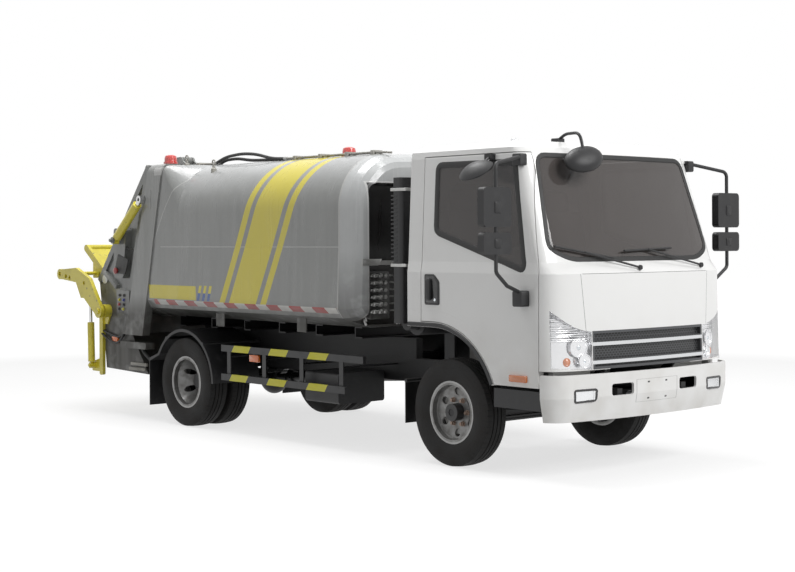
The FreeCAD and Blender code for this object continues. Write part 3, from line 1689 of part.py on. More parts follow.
def sweep_blade():
    pivot_x, pivot_z = slope_point(blade_pivot, slide_middle)
    half = tail_inner - blade_side_gap
    lean = math.radians(blade_rest_deg)
    down = V(-math.sin(lean), 0, -math.cos(lean))
    across = V(down.z, 0, -down.x)
    start = blade_eye_radius + running_gap

    def spot(along, out):
        point = V(pivot_x, 0, pivot_z) + down * along + across * out
        return (point.x, point.z)
    plate = side_plate([
        spot(start, -blade_thick / 2), spot(start, blade_thick / 2),
        spot(blade_length - blade_thick, blade_thick / 2), spot(blade_length, blade_thick / 6),
        spot(blade_length, -blade_thick / 2),
    ], -half, half)
    pin = bar((pivot_x, -eye_half_place - eye_half_width - running_gap, pivot_z),
              (pivot_x, eye_half_place + eye_half_width + running_gap, pivot_z), blade_pin_radius)
    arms = []
    inner = eye_half_width + running_gap
    spans = (
        (inner, eye_half_place - inner), (eye_half_place + inner, half),
        (-eye_half_place + inner, -inner), (-half, -eye_half_place - inner),
    )
    for near, far in spans:
        middle = (near + far) / 2
        width = (far - near) * arm_width_share / 2
        if abs(near) == inner or abs(far) == inner:
            y0, y1 = middle - width, middle + width
        else:
            y0, y1 = near, far
        arms.append(bar((pivot_x, y0, pivot_z), (pivot_x, y1, pivot_z), blade_eye_radius))
        arms.append(side_plate([
            spot(0, -blade_thick / 2), spot(0, blade_thick / 2),
            spot(start * 2, blade_thick / 2), spot(start * 2, -blade_thick / 2),
        ], y0, y1))
    pin = bar((pivot_x, -half, pivot_z), (pivot_x, half, pivot_z), blade_pin_radius)
    return fused([plate, pin] + arms)


# Lifting cylinders of the tail: a barrel on the tail's bracket, its rod to the rear frame.
tail_cyl_y = 1048.0
tail_cyl_low_behind = 1016.0
tail_cyl_low_z = 1626.0
tail_cyl_high_behind = 580.0
tail_cyl_high_z = 1990.0
tail_cyl_low = (rear_axle_x - tail_cyl_low_behind, tail_cyl_low_z)
tail_cyl_high = (rear_axle_x - tail_cyl_high_behind, tail_cyl_high_z)
tail_cyl_radius = 41.0
tail_rod_radius = 24.0
tail_cyl_eye = 36.0
tail_cyl_eye_half = 22.0
tail_cyl_head = 70.0
tail_pin_radius = 15.0
tail_pin_stub = 40.0
cylinder_neck_share = 0.75


def tail_cylinder(side):
    """The barrel with its lower eye, bored for the rod."""
    y = tail_cyl_y * side
    low = V(tail_cyl_low[0], y, tail_cyl_low[1])
    high = V(tail_cyl_high[0], y, tail_cyl_high[1])
    run = (high - low).normalize()
    eye = bar(low - along_y * tail_cyl_eye_half, low + along_y * tail_cyl_eye_half, tail_cyl_eye)
    barrel_start = low + run * (tail_cyl_eye + running_gap)
    barrel_end = high - run * tail_cyl_head
    neck = bar(low, barrel_start, tail_cyl_eye_half * cylinder_neck_share)
    tube = bar(barrel_start, barrel_end, tail_cyl_radius)
    bore = bar(barrel_start + run * running_gap, high, tail_rod_radius + seat_gap)
    hole = bar(low - along_y * overrun, low + along_y * overrun, tail_pin_radius + seat_gap)
    return fused([eye, neck, tube]).cut(bore).cut(hole)


def tail_rod(side):
    """The rod with the eye that meets the rear frame's ears."""
    y = tail_cyl_y * side
    low = V(tail_cyl_low[0], y, tail_cyl_low[1])
    high = V(tail_cyl_high[0], y, tail_cyl_high[1])
    run = (high - low).normalize()
    shaft = bar(low + run * (tail_cyl_eye + running_gap * 3), high, tail_rod_radius)
    eye = bar(high - along_y * tail_cyl_eye_half, high + along_y * tail_cyl_eye_half, tail_cyl_eye)
    hole = bar(high - along_y * overrun, high + along_y * overrun, tail_pin_radius)
    return fused([shaft, eye]).cut(hole)


bracket_reach = 110.0
bracket_drop = 350.0
bracket_corner = 30.0


def tail_bracket(side):
    """The raised box on the tail's side wall that carries the barrel's pin."""
    wall = tail_inner + tail_wall
    x, z = tail_cyl_low
    items = rounded([
        (x - bracket_reach, z - bracket_drop), (x + bracket_reach / 2, z - bracket_drop),
        (x + bracket_reach, z + bracket_reach), (x - bracket_reach, z + bracket_reach),
    ], bracket_corner)
    face = tail_cyl_y - tail_cyl_eye_half - seat_gap
    plate = side_plate(items, wall * side, (tail_cyl_y - tail_cyl_radius - running_gap) * side)
    boss = bar((x, wall * side, z), (x, face * side, z), tail_cyl_eye)
    pin = bar((x, face * side, z), (x, (tail_cyl_y + tail_cyl_eye_half + tail_pin_stub) * side, z),
              tail_pin_radius)
    cap_near = tail_cyl_y + tail_cyl_eye_half + seat_gap
    cap = bar((x, cap_near * side, z), (x, (cap_near + tail_pin_radius) * side, z),
              tail_pin_radius * 2)
    return fused([plate, boss, pin, cap])


rod_ear_radius = 42.0
rod_ear_root = 930.0


def rod_ear(side):
    """The boss on the rear frame that faces the lifting rod's eye."""
    x, z = tail_cyl_high
    face = (tail_cyl_y - tail_cyl_eye_half - running_gap) * side
    boss = bar((x + rod_ear_radius, rod_ear_root * side, z), (x + rod_ear_radius, face, z),
               rod_ear_radius)
    plate = side_plate([
        (x + rod_ear_radius, z - rod_ear_radius), (x + rod_ear_radius * 3, z - rod_ear_radius * 2),
        (x + rod_ear_radius * 3, z + rod_ear_radius * 2), (x + rod_ear_radius, z + rod_ear_radius),
    ], rod_ear_root * side, face)
    return boss.fuse(plate)


# Bin lifter: a post and pivot boss on each side of the tail, arms, cylinders and the frame.
post_behind = 1434.0
post_x = rear_axle_x - post_behind
post_half = 30.0
post_low_z = 359.0
post_top_z = 940.0
post_inner = 930.3
post_outer = 1000.0
lift_pivot_behind = 1340.0
lift_pivot_x = rear_axle_x - lift_pivot_behind
lift_pivot_z = 964.0
lift_pin_radius = 26.0
lift_boss_radius = 62.0
arm_inner = 1012.0
arm_outer = 1048.0
arm_elbow_behind = 1556.0
arm_elbow_x = rear_axle_x - arm_elbow_behind
arm_elbow_z = 1215.0
arm_tip_behind = 2062.0
arm_tip_x = rear_axle_x - arm_tip_behind
arm_tip_z = 1301.0
arm_half = 55.0
arm_tip_radius = 50.0
arm_tip_bore = 24.0
arm_hole_radius = 20.0
lift_eye_behind = 1600.0
lift_eye_x = rear_axle_x - lift_eye_behind
lift_eye_z = 1135.0
lift_base_behind = 1577.0
lift_base_x = rear_axle_x - lift_base_behind
lift_base_z = 443.0
lift_cyl_radius = 33.0
lift_rod_radius = 17.0
lift_cyl_eye = 28.0
lift_cyl_y = 978.0
lift_cyl_half = 20.0
lift_cyl_top_z = 850.0
lift_pin = 13.0
foot_thick = 9.0


def lift_post(side):
    """The upright strap on the tail with the pivot pin above and the cylinder's foot below."""
    near = post_inner * side
    far = post_outer * side
    strap = side_plate(rounded([
        (post_x - post_half, post_low_z), (post_x + post_half, post_low_z),
        (post_x + post_half, post_top_z), (post_x - post_half, post_top_z),
    ], post_half * 2 / 3), near, (post_inner + post_half) * side)
    foot_y = (lift_cyl_y - lift_cyl_half - seat_gap) * side
    foot = side_plate(rounded([
        (lift_base_x - lift_cyl_eye * 2, lift_base_z - lift_cyl_eye * 2),
        (post_x, lift_base_z - lift_cyl_eye * 2), (post_x, lift_base_z + lift_cyl_eye * 3),
        (lift_base_x - lift_cyl_eye * 2, lift_base_z + lift_cyl_eye),
    ], lift_cyl_eye / 2), near, (post_inner + foot_thick) * side)
    foot_boss = bar((lift_base_x, near, lift_base_z), (lift_base_x, foot_y, lift_base_z),
                    lift_cyl_eye)
    foot_pin = bar((lift_base_x, foot_y, lift_base_z),
                   (lift_base_x, (lift_cyl_y + lift_cyl_half + lift_pin) * side, lift_base_z),
                   lift_pin)
    boss = bar((lift_pivot_x, near, lift_pivot_z), (lift_pivot_x, far, lift_pivot_z),
               lift_boss_radius)
    pin = bar((lift_pivot_x, near, lift_pivot_z),
              (lift_pivot_x, (arm_outer + lift_pin) * side, lift_pivot_z), lift_pin_radius)
    plate = side_plate([
        (post_x - post_half, lift_pivot_z - lift_boss_radius * 2),
        (lift_pivot_x, lift_pivot_z - lift_boss_radius * 2),
        (lift_pivot_x + lift_boss_radius, lift_pivot_z),
        (lift_pivot_x, lift_pivot_z + lift_boss_radius), (post_x - post_half, lift_pivot_z),
    ], near, (post_inner + post_half / 2) * side)
    return fused([strap, foot, foot_boss, foot_pin, boss, pin, plate])


arm_lean_share = 0.6
arm_hole_shares = (0.08, 0.62, 0.76)


def lift_arm(side):
    """The bent plate arm, its pivot boss, the rod's pin and the bored boss at its tip."""
    near = arm_inner * side
    far = arm_outer * side
    items = [
        (lift_pivot_x + arm_half, lift_pivot_z),
        (lift_pivot_x + arm_half * arm_lean_share, lift_pivot_z + arm_half),
        (arm_elbow_x + arm_half, arm_elbow_z + arm_half),
        (frame_pivot_x, frame_pivot_z + arm_half),
        (arm_tip_x, arm_tip_z + arm_half * 4 / 5),
        (arm_tip_x, arm_tip_z - arm_half * 4 / 5), (frame_pivot_x, frame_pivot_z - arm_half * 3 / 2),
        (lift_eye_x - arm_half, lift_eye_z - arm_half), (lift_eye_x, lift_eye_z - arm_half),
        (lift_pivot_x - arm_half, lift_pivot_z - arm_half / 2),
    ]
    plate = side_plate(items, near, far)
    boss = bar((lift_pivot_x, near, lift_pivot_z), (lift_pivot_x, far, lift_pivot_z),
               lift_boss_radius)
    tip = bar((arm_tip_x, near, arm_tip_z), (arm_tip_x, far, arm_tip_z), arm_tip_radius)
    solid = fused([plate, boss, tip])
    holes = [(arm_tip_x, arm_tip_z, arm_tip_bore),
             (lift_pivot_x, lift_pivot_z, lift_pin_radius + seat_gap)]
    run = V(arm_tip_x - arm_elbow_x, 0, arm_tip_z - arm_elbow_z)
    for share in arm_hole_shares:
        holes.append((arm_elbow_x + run.x * share, arm_elbow_z + run.z * share, arm_hole_radius))
    for x, z, radius in holes:
        solid = solid.cut(bar((x, near - overrun * side, z), (x, far + overrun * side, z), radius))
    rod_pin = bar((lift_eye_x, near, lift_eye_z),
                  (lift_eye_x, (lift_cyl_y + lift_cyl_half + running_gap) * side, lift_eye_z),
                  lift_pin)
    frame_pin = bar((frame_pivot_x, far, frame_pivot_z),
                    (frame_pivot_x, (frame_half + frame_plate) * side, frame_pivot_z),
                    frame_pin_radius)
    return fused([solid, rod_pin, frame_pin])


def lift_cylinder(side):
    y = lift_cyl_y * side
    low = V(lift_base_x, y, lift_base_z)
    high = V(lift_eye_x, y, lift_eye_z)
    run = (high - low).normalize()
    top = low + run * (lift_cyl_top_z - lift_base_z)
    eye = bar(low - along_y * lift_cyl_half, low + along_y * lift_cyl_half, lift_cyl_eye)
    start = low + run * (lift_cyl_eye + running_gap)
    neck = bar(low, start, lift_cyl_half * cylinder_neck_share)
    tube = bar(start, top, lift_cyl_radius)
    bore = bar(start + run * running_gap, high, lift_rod_radius + seat_gap)
    hole = bar(low - along_y * overrun, low + along_y * overrun, lift_pin + seat_gap)
    return fused([eye, neck, tube]).cut(bore).cut(hole)


rod_depth = 222.0
eye_clear = 1.5


def lift_rod(side):
    y = lift_cyl_y * side
    low = V(lift_base_x, y, lift_base_z)
    high = V(lift_eye_x, y, lift_eye_z)
    run = (high - low).normalize()
    top = low + run * (lift_cyl_top_z - lift_base_z)
    shaft = bar(top - run * rod_depth, high, lift_rod_radius)
    eye = bar(high - along_y * lift_cyl_half, high + along_y * lift_cyl_half, lift_cyl_eye)
    hole = bar(high - along_y * overrun, high + along_y * overrun, lift_pin + eye_clear)
    return fused([shaft, eye]).cut(hole)


frame_pivot_behind = 1750.0
frame_pivot_x = rear_axle_x - frame_pivot_behind
frame_pivot_z = 1310.0
frame_pin_radius = 18.0
frame_half = 800.0
frame_plate = 34.0
frame_foot_behind = 1562.0
frame_foot_x = rear_axle_x - frame_foot_behind
frame_foot_z = 1285.0
frame_top_behind = 1930.0
frame_top_x = rear_axle_x - frame_top_behind
frame_top_z = 1550.0
frame_member = 33.0
frame_lug = 45.0
frame_bar_radius = 34.0
comb_share = 0.42


def bin_frame():
    """Two side members, the bar across their tops, and the sloping comb plate."""
    pieces = []
    rise = V(frame_top_x - frame_foot_x, 0, frame_top_z - frame_foot_z).normalize()
    across = V(rise.z, 0, -rise.x) * frame_member
    foot = V(frame_foot_x, 0, frame_foot_z)
    top = V(frame_top_x, 0, frame_top_z)
    corners = [foot - across, top - across, top + across, foot + across]
    member = [(corner.x, corner.z) for corner in corners]
    lug = [
        (frame_pivot_x + frame_lug, frame_pivot_z - frame_lug),
        (frame_pivot_x + frame_lug * 2, frame_pivot_z + frame_lug),
        (frame_pivot_x - frame_lug, frame_pivot_z + frame_lug * 3),
        (frame_pivot_x - frame_lug, frame_pivot_z - frame_lug),
    ]
    for side in sides.values():
        near = frame_half * side
        far = (frame_half + frame_plate) * side
        pieces.append(side_plate(member, near, far))
        pieces.append(side_plate(rounded(lug, frame_lug / 3), near, far))
    outer = frame_half + frame_plate
    pieces.append(bar((frame_top_x, -outer, frame_top_z), (frame_top_x, outer, frame_top_z),
                      frame_bar_radius))
    pieces.append(bar((frame_foot_x, -outer, frame_foot_z), (frame_foot_x, outer, frame_foot_z),
                      frame_bar_radius * 3 / 4))
    lift = across * comb_share
    items = [(foot.x, foot.z), (top.x, top.z), (top.x + lift.x, top.z + lift.z),
             (foot.x + lift.x, foot.z + lift.z)]
    pieces.append(side_plate(items, -frame_half - frame_plate / 2, frame_half + frame_plate / 2))
    solid = fused(pieces)
    for side in sides.values():
        far = (frame_half + overrun) * side
        solid = solid.cut(bar((frame_pivot_x, far, frame_pivot_z),
                              (frame_pivot_x, (frame_half - seat_gap) * side, frame_pivot_z),
                              frame_pin_radius + seat_gap))
    return solid


# Hinges of the tail on the container's roof: ears on the frame, knuckles on the tail.
hinge_half = 45.0
hinge_place = 620.0
hinge_radius = 34.0
hinge_pin_radius = 14.0
hinge_ear_thick = 18.0


def roof_ear(side):
    """Two ears on the rear frame with the pin between them."""
    middle = hinge_place * side
    pieces = []
    foot_z = shoulder_top_z
    for end in (-1, 1):
        near = middle + (hinge_half + running_gap) * end
        far = near + hinge_ear_thick * end
        y0, y1 = sorted((near, far))
        items = [
            (tail_hinge_x + hinge_radius * 4, foot_z), (tail_hinge_x - hinge_radius / 2, foot_z),
            (tail_hinge_x - hinge_radius, tail_hinge_z),
            (tail_hinge_x, tail_hinge_z + hinge_radius, tail_hinge_x + hinge_radius, tail_hinge_z),
        ]
        pieces.append(side_plate(items, y0, y1))
    reach = hinge_half + running_gap + hinge_ear_thick
    pieces.append(bar((tail_hinge_x, middle - reach, tail_hinge_z),
                      (tail_hinge_x, middle + reach, tail_hinge_z), hinge_pin_radius))
    return fused(pieces)


def tail_knuckle(side):
    """The tail's knuckle round the hinge pin, on an arm from the hood."""
    middle = hinge_place * side
    low = middle - hinge_half
    high = middle + hinge_half
    boss = bar((tail_hinge_x, low, tail_hinge_z), (tail_hinge_x, high, tail_hinge_z), hinge_radius)
    arm = side_plate([
        (tail_hinge_x, tail_hinge_z + hinge_radius),
        (tail_top_rear_x + hinge_radius * 2, tail_hinge_z + hinge_radius),
        (tail_top_rear_x + hinge_radius / 2, tail_top_rear_z - hood_thick / 2),
        (joint_x(joint_top_z) - hinge_radius, joint_top_z - hood_thick / 2),
        (tail_hinge_x - hinge_radius, tail_hinge_z),
    ], low, high)
    hole = bar((tail_hinge_x, low - overrun, tail_hinge_z),
               (tail_hinge_x, high + overrun, tail_hinge_z), hinge_pin_radius + seat_gap)
    return fused([boss, arm]).cut(hole)


# Side guards: two rails on stays each side, and the mudguard over each pair of rear wheels.
guard_y = 960.0
guard_front_x = -880.0
guard_low_front_x = -1100.0
guard_rear_ahead = 550.0
guard_rear_x = rear_axle_x + guard_rear_ahead
guard_tops = (740.0, 497.0)
guard_height = 55.0
guard_thick = 26.0
stay_count = 4
stay_width = 50.0
stay_thick = 10.0


def side_guard(side):
    pieces = []
    inner = (guard_y - guard_thick) * side
    outer = guard_y * side
    for top, front in zip(guard_tops, (guard_front_x, guard_low_front_x)):
        near, far = sorted((inner, outer))
        pieces.append(block(guard_rear_x, front, near, far, top - guard_height, top))
    stay_in = inner - stay_thick * side
    near, far = sorted((inner, stay_in))
    pitch = (guard_low_front_x - guard_rear_x - stay_width * 3) / (stay_count - 1)
    foot = rail_half_width + seat_gap
    for i in range(stay_count):
        x = guard_rear_x + stay_width + i * pitch
        pieces.append(block(x, x + stay_width, near, far, guard_tops[1] - guard_height,
                            guard_tops[0]))
        arm_near, arm_far = sorted((foot * side, stay_in))
        pieces.append(block(x, x + stay_width, arm_near, arm_far, rail_top_z - guard_height,
                            rail_top_z - guard_height + stay_thick))
    return fused(pieces)


mudguard_radius = 455.0
mudguard_wall = 8.0
mudguard_lip = 26.0
mudguard_inner = 500.0
mudguard_outer = 985.0
mudguard_turns = (2.0, 76.0, 150.0)
mudguard_stay_turns = (50.0, 125.0)
flap_behind = 543.0
flap_x = rear_axle_x - flap_behind
flap_top_z = 545.0
flap_low_z = 148.0


def rear_mudguard(side):
    """An arched sheet with a lipped edge over the twin wheels, its flap, and two stays."""
    start, top, stop = (math.radians(turn) for turn in mudguard_turns)

    def spot(radius, turn):
        return (rear_axle_x + radius * math.cos(turn), axle_z + radius * math.sin(turn))

    def arched(radius, depth, near):
        outer = radius + depth
        items = [
            spot(radius, start), spot(radius, top) + spot(radius, stop),
            (flap_x + mudguard_wall, flap_top_z), (flap_x + mudguard_wall, flap_low_z),
            (flap_x, flap_low_z), (flap_x, flap_top_z + depth),
            spot(outer, stop), spot(outer, top) + spot(outer, start),
        ]
        return side_plate(items, near * side, mudguard_outer * side)
    outer = mudguard_radius + mudguard_wall
    pieces = [arched(mudguard_radius, mudguard_wall, mudguard_inner),
              arched(outer - mudguard_lip, mudguard_lip, mudguard_outer - mudguard_wall)]
    for turn in mudguard_stay_turns:
        x = rear_axle_x + outer * math.cos(math.radians(turn))
        z = axle_z + outer * math.sin(math.radians(turn)) - mudguard_wall
        pieces.append(bar((x, (rail_half_width + seat_gap) * side, z),
                          (x, mudguard_outer * side, z), mudguard_wall * 2))
    return fused(pieces)


# Mud flaps behind the front wheels, each on a stay from the rail.
front_flap_x = -458.0
front_flap_low_z = 275.0
front_flap_top_z = 600.0
front_flap_inner = 640.0
front_flap_outer = 905.0
front_flap_thick = 8.0
flap_stay_radius = 14.0


def front_flap(side):
    near, far = sorted((front_flap_inner * side, front_flap_outer * side))
    plate = block(front_flap_x - front_flap_thick, front_flap_x, near, far,
                  front_flap_low_z, front_flap_top_z)
    z = front_flap_top_z - flap_stay_radius
    stay = bar((front_flap_x, (rail_half_width + seat_gap) * side, z),
               (front_flap_x, front_flap_outer * side, z), flap_stay_radius)
    return plate.fuse(stay)


# Tanks and boxes on the rails, and the air intake behind the cab.
tank_front_x = -1250.0
tank_length = 560.0
tank_inner = 390.0
tank_outer = 860.0
tank_low_z = 340.0
tank_top_z = 625.0
tank_corner = 45.0
strap_shares = (0.85, 0.25)


def fuel_tank():
    items = rounded([
        (tank_inner, tank_low_z), (tank_outer, tank_low_z), (tank_outer, tank_top_z),
        (tank_inner, tank_top_z),
    ], tank_corner)
    tank = front_plate(items, tank_front_x - tank_length, tank_front_x)
    foot = rail_half_width + seat_gap
    straps = [block(tank_front_x - tank_length * share, tank_front_x - tank_length * share
                    + stay_width, foot, tank_inner + tank_corner, rail_bottom_z + rail_wall,
                    tank_top_z - tank_corner) for share in strap_shares]
    return fused([tank] + straps)


box_front_x = -1300.0
box_length = 420.0


def battery_box():
    foot = rail_half_width + seat_gap
    items = rounded([
        (-tank_outer, tank_low_z), (-tank_inner, tank_low_z), (-tank_inner, tank_top_z - tank_corner),
        (-tank_outer, tank_top_z - tank_corner),
    ], tank_corner / 2)
    case = front_plate(items, box_front_x - box_length, box_front_x)
    stays = [block(box_front_x - box_length * share, box_front_x - box_length * share + stay_width,
                   -tank_inner - tank_corner, -foot, rail_bottom_z + rail_wall,
                   tank_top_z - tank_corner * 3 / 2) for share in strap_shares]
    return fused([case] + stays)


snorkel_x = -560.0
snorkel_y = -800.0
snorkel_depth = 110.0
snorkel_width = 190.0
snorkel_low_z = 1000.0
snorkel_top_z = 2080.0
snorkel_corner = 30.0


def air_intake():
    """The upright duct behind the cab, with the air cleaner at its foot."""
    half_x = snorkel_depth / 2
    half_y = snorkel_width / 2
    items = rounded([
        (snorkel_x - half_x, snorkel_y - half_y), (snorkel_x + half_x, snorkel_y - half_y),
        (snorkel_x + half_x, snorkel_y + half_y), (snorkel_x - half_x, snorkel_y + half_y),
    ], snorkel_corner)
    duct = flat_plate(items, snorkel_low_z, snorkel_top_z)
    cleaner = bar((snorkel_x, snorkel_y + half_y, snorkel_low_z),
                  (snorkel_x, -rail_half_width - seat_gap, snorkel_low_z), snorkel_width / 2)
    stand = block(snorkel_x - half_x, snorkel_x + half_x, -rail_half_width + rail_flange / 2,
                  -rail_half_width + rail_wall, rail_top_z + seat_gap, snorkel_low_z)
    arm = block(snorkel_x - half_x, snorkel_x + half_x, -rail_half_width - snorkel_corner,
                -rail_half_width + rail_wall, snorkel_low_z - snorkel_corner, snorkel_low_z)
    elbow = bar((snorkel_x, snorkel_y, snorkel_low_z), (snorkel_x, snorkel_y + half_y, snorkel_low_z),
                snorkel_depth / 2)
    return fused([duct, cleaner, stand, arm, elbow])


# Beacons: a low dome at the roof's rear corner and one nearer its front.
beacon_radius = 64.0
beacon_height = 62.0
beacon_foot = 18.0
beacon_behind = 340.0
beacon_x = rear_axle_x - beacon_behind
beacon_y = -880.0
front_beacon_x = -1690.0
front_beacon_y = -420.0
dome_share = 0.88


def beacon(x, y, root):
    """A flat foot under a low dome."""
    dome = beacon_radius * dome_share
    foot = bar((x, y, root), (x, y, root + beacon_foot), beacon_radius)
    high = root + beacon_foot + beacon_height
    items = [(0, root), (dome, root), (dome, root + beacon_foot + beacon_height / 2),
             (dome * dome_share, high - beacon_foot / 2), (dome / 2, high), (0, high)]
    points = [V(x + reach, y, z) for reach, z in items]
    face = Part.Face(Part.makePolygon(points + [points[0]]))
    return foot.fuse(face.revolve(V(x, y, 0), along_z, full_turn))


def roof_beacons():
    def crown(y, half, radius):
        fall = (abs(y) - beacon_radius) / (half - radius)
        return body_roof_z - (body_roof_z - shoulder_top_z) * fall * fall + seat_gap
    front_root = crown(front_beacon_y, shoulder_half, shoulder_radius)
    rear_root = crown(beacon_y, square_half, square_radius) + frame_proud
    return [beacon(front_beacon_x, front_beacon_y, front_root),
            beacon(beacon_x, beacon_y, rear_root)]


def pair(build):
    """The piece that a function builds for each side."""
    return [build(side) for side in sides.values()]


def build_frame():
    save("ladder_frame", fused(pair(frame_rail) + frame_members()))
    save("engine_block", engine_block())
    save("propeller_shaft", propeller_shaft())
    save("rear_axle", rear_axle())
    save("front_axle_beam", front_axle_beam())
    save("track_rod", track_rod())
    front_seat = axle_z - beam_drop + beam_height / 2 + seat_gap
    rear_seat = axle_z + housing_radius + seat_gap
    save("leaf_springs_front", *pair(
        lambda side: leaf_spring(0, spring_front_half, front_seat, side)))
    save("leaf_springs_rear", *pair(
        lambda side: leaf_spring(rear_axle_x, spring_rear_half, rear_seat, side)))
    for name, side in sides.items():
        save("knuckle_" + name, knuckle(side))
        rest_turn = wheel_rest_turns[name]
        save("wheel_front_" + name, about_axle(on_side(front_wheel(), side), 0, rest_turn))
        save("tyre_front_" + name, tyre(0, front_track_half * side))
        save("wheels_rear_" + name,
             about_axle(on_side(rear_wheels(), side), rear_axle_x, rest_turn))
        save("tyres_rear_" + name, tyre(rear_axle_x, rear_inner_half * side),
             tyre(rear_axle_x, rear_outer_half * side))
    save("side_guards", *pair(side_guard))
    save("rear_mudguards", *pair(rear_mudguard))
    save("step_panels", *pair(step_panel))
    save("front_bumper", front_bumper())
    save("fog_lamps", *fog_lamps())
    save("frame_brackets", *bumper_brackets(), *pair(tilt_bracket), *pair(front_flap))
    save("fuel_tank", fuel_tank())
    save("battery_box", battery_box())
    save("air_intake", air_intake())
    save("cab_seats", seat(-seat_middle_y), seat(seat_middle_y))
    save("dashboard", dashboard())
    save("steering_wheel", steering_wheel())


def build_body():
    save("body_barrel", barrel())
    save("body_rear_frame", fused([rear_frame()] + pair(roof_ear) + pair(rod_ear)))
    save("body_front_cap", front_cap())
    save("ejector", ejector())
    save("subframe", *pair(subframe_sill), *bearers())
    save("roof_beacons", *roof_beacons())


def build_tail():
    for name, side in sides.items():
        save("tail_side_" + name, fused([tail_side(side), tail_bracket(side)]))
    save("lift_posts", *pair(lift_post))
    save("tail_cylinders", *pair(tail_cylinder))
    save("tail_rods", *pair(tail_rod))
    save("lift_arms", *pair(lift_arm))
    save("lift_cylinders", *pair(lift_cylinder))
    save("lift_rods", *pair(lift_rod))
    save("hopper", hopper())
    save("tail_hood", fused([tail_hood()] + pair(tail_knuckle)))
    save("packer_slide", packer_slide())
    save("sweep_blade", sweep_blade())
    save("bin_frame", bin_frame())


build_frame()
build_cab()
build_body()
build_tail()
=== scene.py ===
import math

import bmesh
import bpy
from mathutils import Matrix, Vector
from mathutils.bvhtree import BVHTree


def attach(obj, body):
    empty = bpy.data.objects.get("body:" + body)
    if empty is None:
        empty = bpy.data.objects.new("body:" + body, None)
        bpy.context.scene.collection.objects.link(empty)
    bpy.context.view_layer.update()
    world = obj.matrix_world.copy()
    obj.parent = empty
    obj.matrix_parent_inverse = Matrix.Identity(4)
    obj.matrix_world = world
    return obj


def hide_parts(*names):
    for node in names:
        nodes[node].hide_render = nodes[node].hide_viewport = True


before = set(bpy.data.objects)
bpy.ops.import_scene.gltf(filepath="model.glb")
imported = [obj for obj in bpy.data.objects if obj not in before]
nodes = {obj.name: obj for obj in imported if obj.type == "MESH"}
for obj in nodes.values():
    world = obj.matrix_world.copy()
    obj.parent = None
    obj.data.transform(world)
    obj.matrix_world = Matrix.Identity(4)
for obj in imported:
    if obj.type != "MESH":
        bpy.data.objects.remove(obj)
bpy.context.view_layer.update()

# Camera. It stands at eye level, ahead of the truck and to its right, and looks level across the
# cab's right front corner. Places along the truck are counted from the front axle, and so the
# rear axle's is below zero.
front_axle_x = 2.128
rear_axle = -3.3
look_deg = 41.06
tilt_deg = -0.298
lens_pixels = 1524.22
picture_width = 795
picture_height = 572
camera_place = (7.9283, -8.308, 1.6277)
axis_across = 394.97
axis_down = 238.66


def spot(x, y, z):
    """A point given from the ground under the front axle, in the truck's own frame."""
    return Vector((x + front_axle_x, y, z))


look = math.radians(look_deg)
tilt = math.radians(tilt_deg)
forward = Vector((-math.cos(look), math.sin(look), 0))
level_right = Vector((math.sin(look), math.cos(look), 0))
up = Vector((0, 0, 1))
right = level_right * math.cos(tilt) + up * math.sin(tilt)
crown = up * math.cos(tilt) - level_right * math.sin(tilt)
camera_data = bpy.data.cameras.new("camera")
camera_data.sensor_width = 36
camera_data.lens = lens_pixels / picture_width * camera_data.sensor_width
camera_data.shift_x = (picture_width / 2 - axis_across) / picture_width
camera_data.shift_y = (axis_down - picture_height / 2) / picture_width
camera_data.clip_end = 100
camera = bpy.data.objects.new("camera", camera_data)
bpy.context.scene.collection.objects.link(camera)
turn = Matrix((right, crown, -forward)).transposed().to_4x4()
camera.matrix_world = Matrix.Translation(spot(*camera_place)) @ turn
bpy.context.scene.camera = camera


# Floor and light. A pale seamless floor under an even white sky, with two large soft lamps, one
# ahead of the truck and one above it, and a weak one that fills the shaded right side.
class Shade:
    """A socket in a material's node tree that arithmetic can be written with."""

    def __init__(self, tree, socket=None):
        self.tree = tree
        self.socket = socket

    def node(self, kind, settings=None, inputs=None, output=0):
        """A new node of that kind, its settings made first and then its sockets."""
        made = self.tree.nodes.new(kind)
        for key, value in (settings or {}).items():
            setattr(made, key, value)
        for key, value in (inputs or {}).items():
            if isinstance(value, Shade):
                self.tree.links.new(value.socket, made.inputs[key])
            else:
                made.inputs[key].default_value = value
        return Shade(self.tree, made.outputs[output] if made.outputs else None)

    def math(self, operation, first, second=0):
        return self.node("ShaderNodeMath", {"operation": operation}, {0: first, 1: second})

    def __add__(self, other):
        return self.math("ADD", self, other)

    def __sub__(self, other):
        return self.math("SUBTRACT", self, other)

    def __mul__(self, other):
        return self.math("MULTIPLY", self, other)

    def __abs__(self):
        return self.math("ABSOLUTE", self)

    def __gt__(self, other):
        return self.math("GREATER_THAN", self, other)

    def __lt__(self, other):
        return self.math("LESS_THAN", self, other)

    def __rsub__(self, other):
        return self.math("SUBTRACT", other, self)

    __radd__ = __add__
    __rmul__ = __mul__

    def mix(self, first, second):
        """Two colours mixed by this value."""
        return self.node("ShaderNodeMix", {"data_type": "RGBA"},
                         {"Factor": self, 6: first, 7: second}, 2)

    def clamp(self, low, high):
        """This value carried from the range low to high on to 0 to 1, and held there."""
        return self.node("ShaderNodeMapRange", None,
                         {"Value": self, "From Min": low, "From Max": high})


def seen_directly(pen):
    """1 where the camera sees a thing, also in a mirror or through glass, and else 0."""
    rays = [pen.node("ShaderNodeLightPath", output=name)
            for name in ("Is Camera Ray", "Is Glossy Ray", "Is Transmission Ray")]
    return pen.math("MAXIMUM", pen.math("MAXIMUM", rays[0], rays[1]), rays[2])


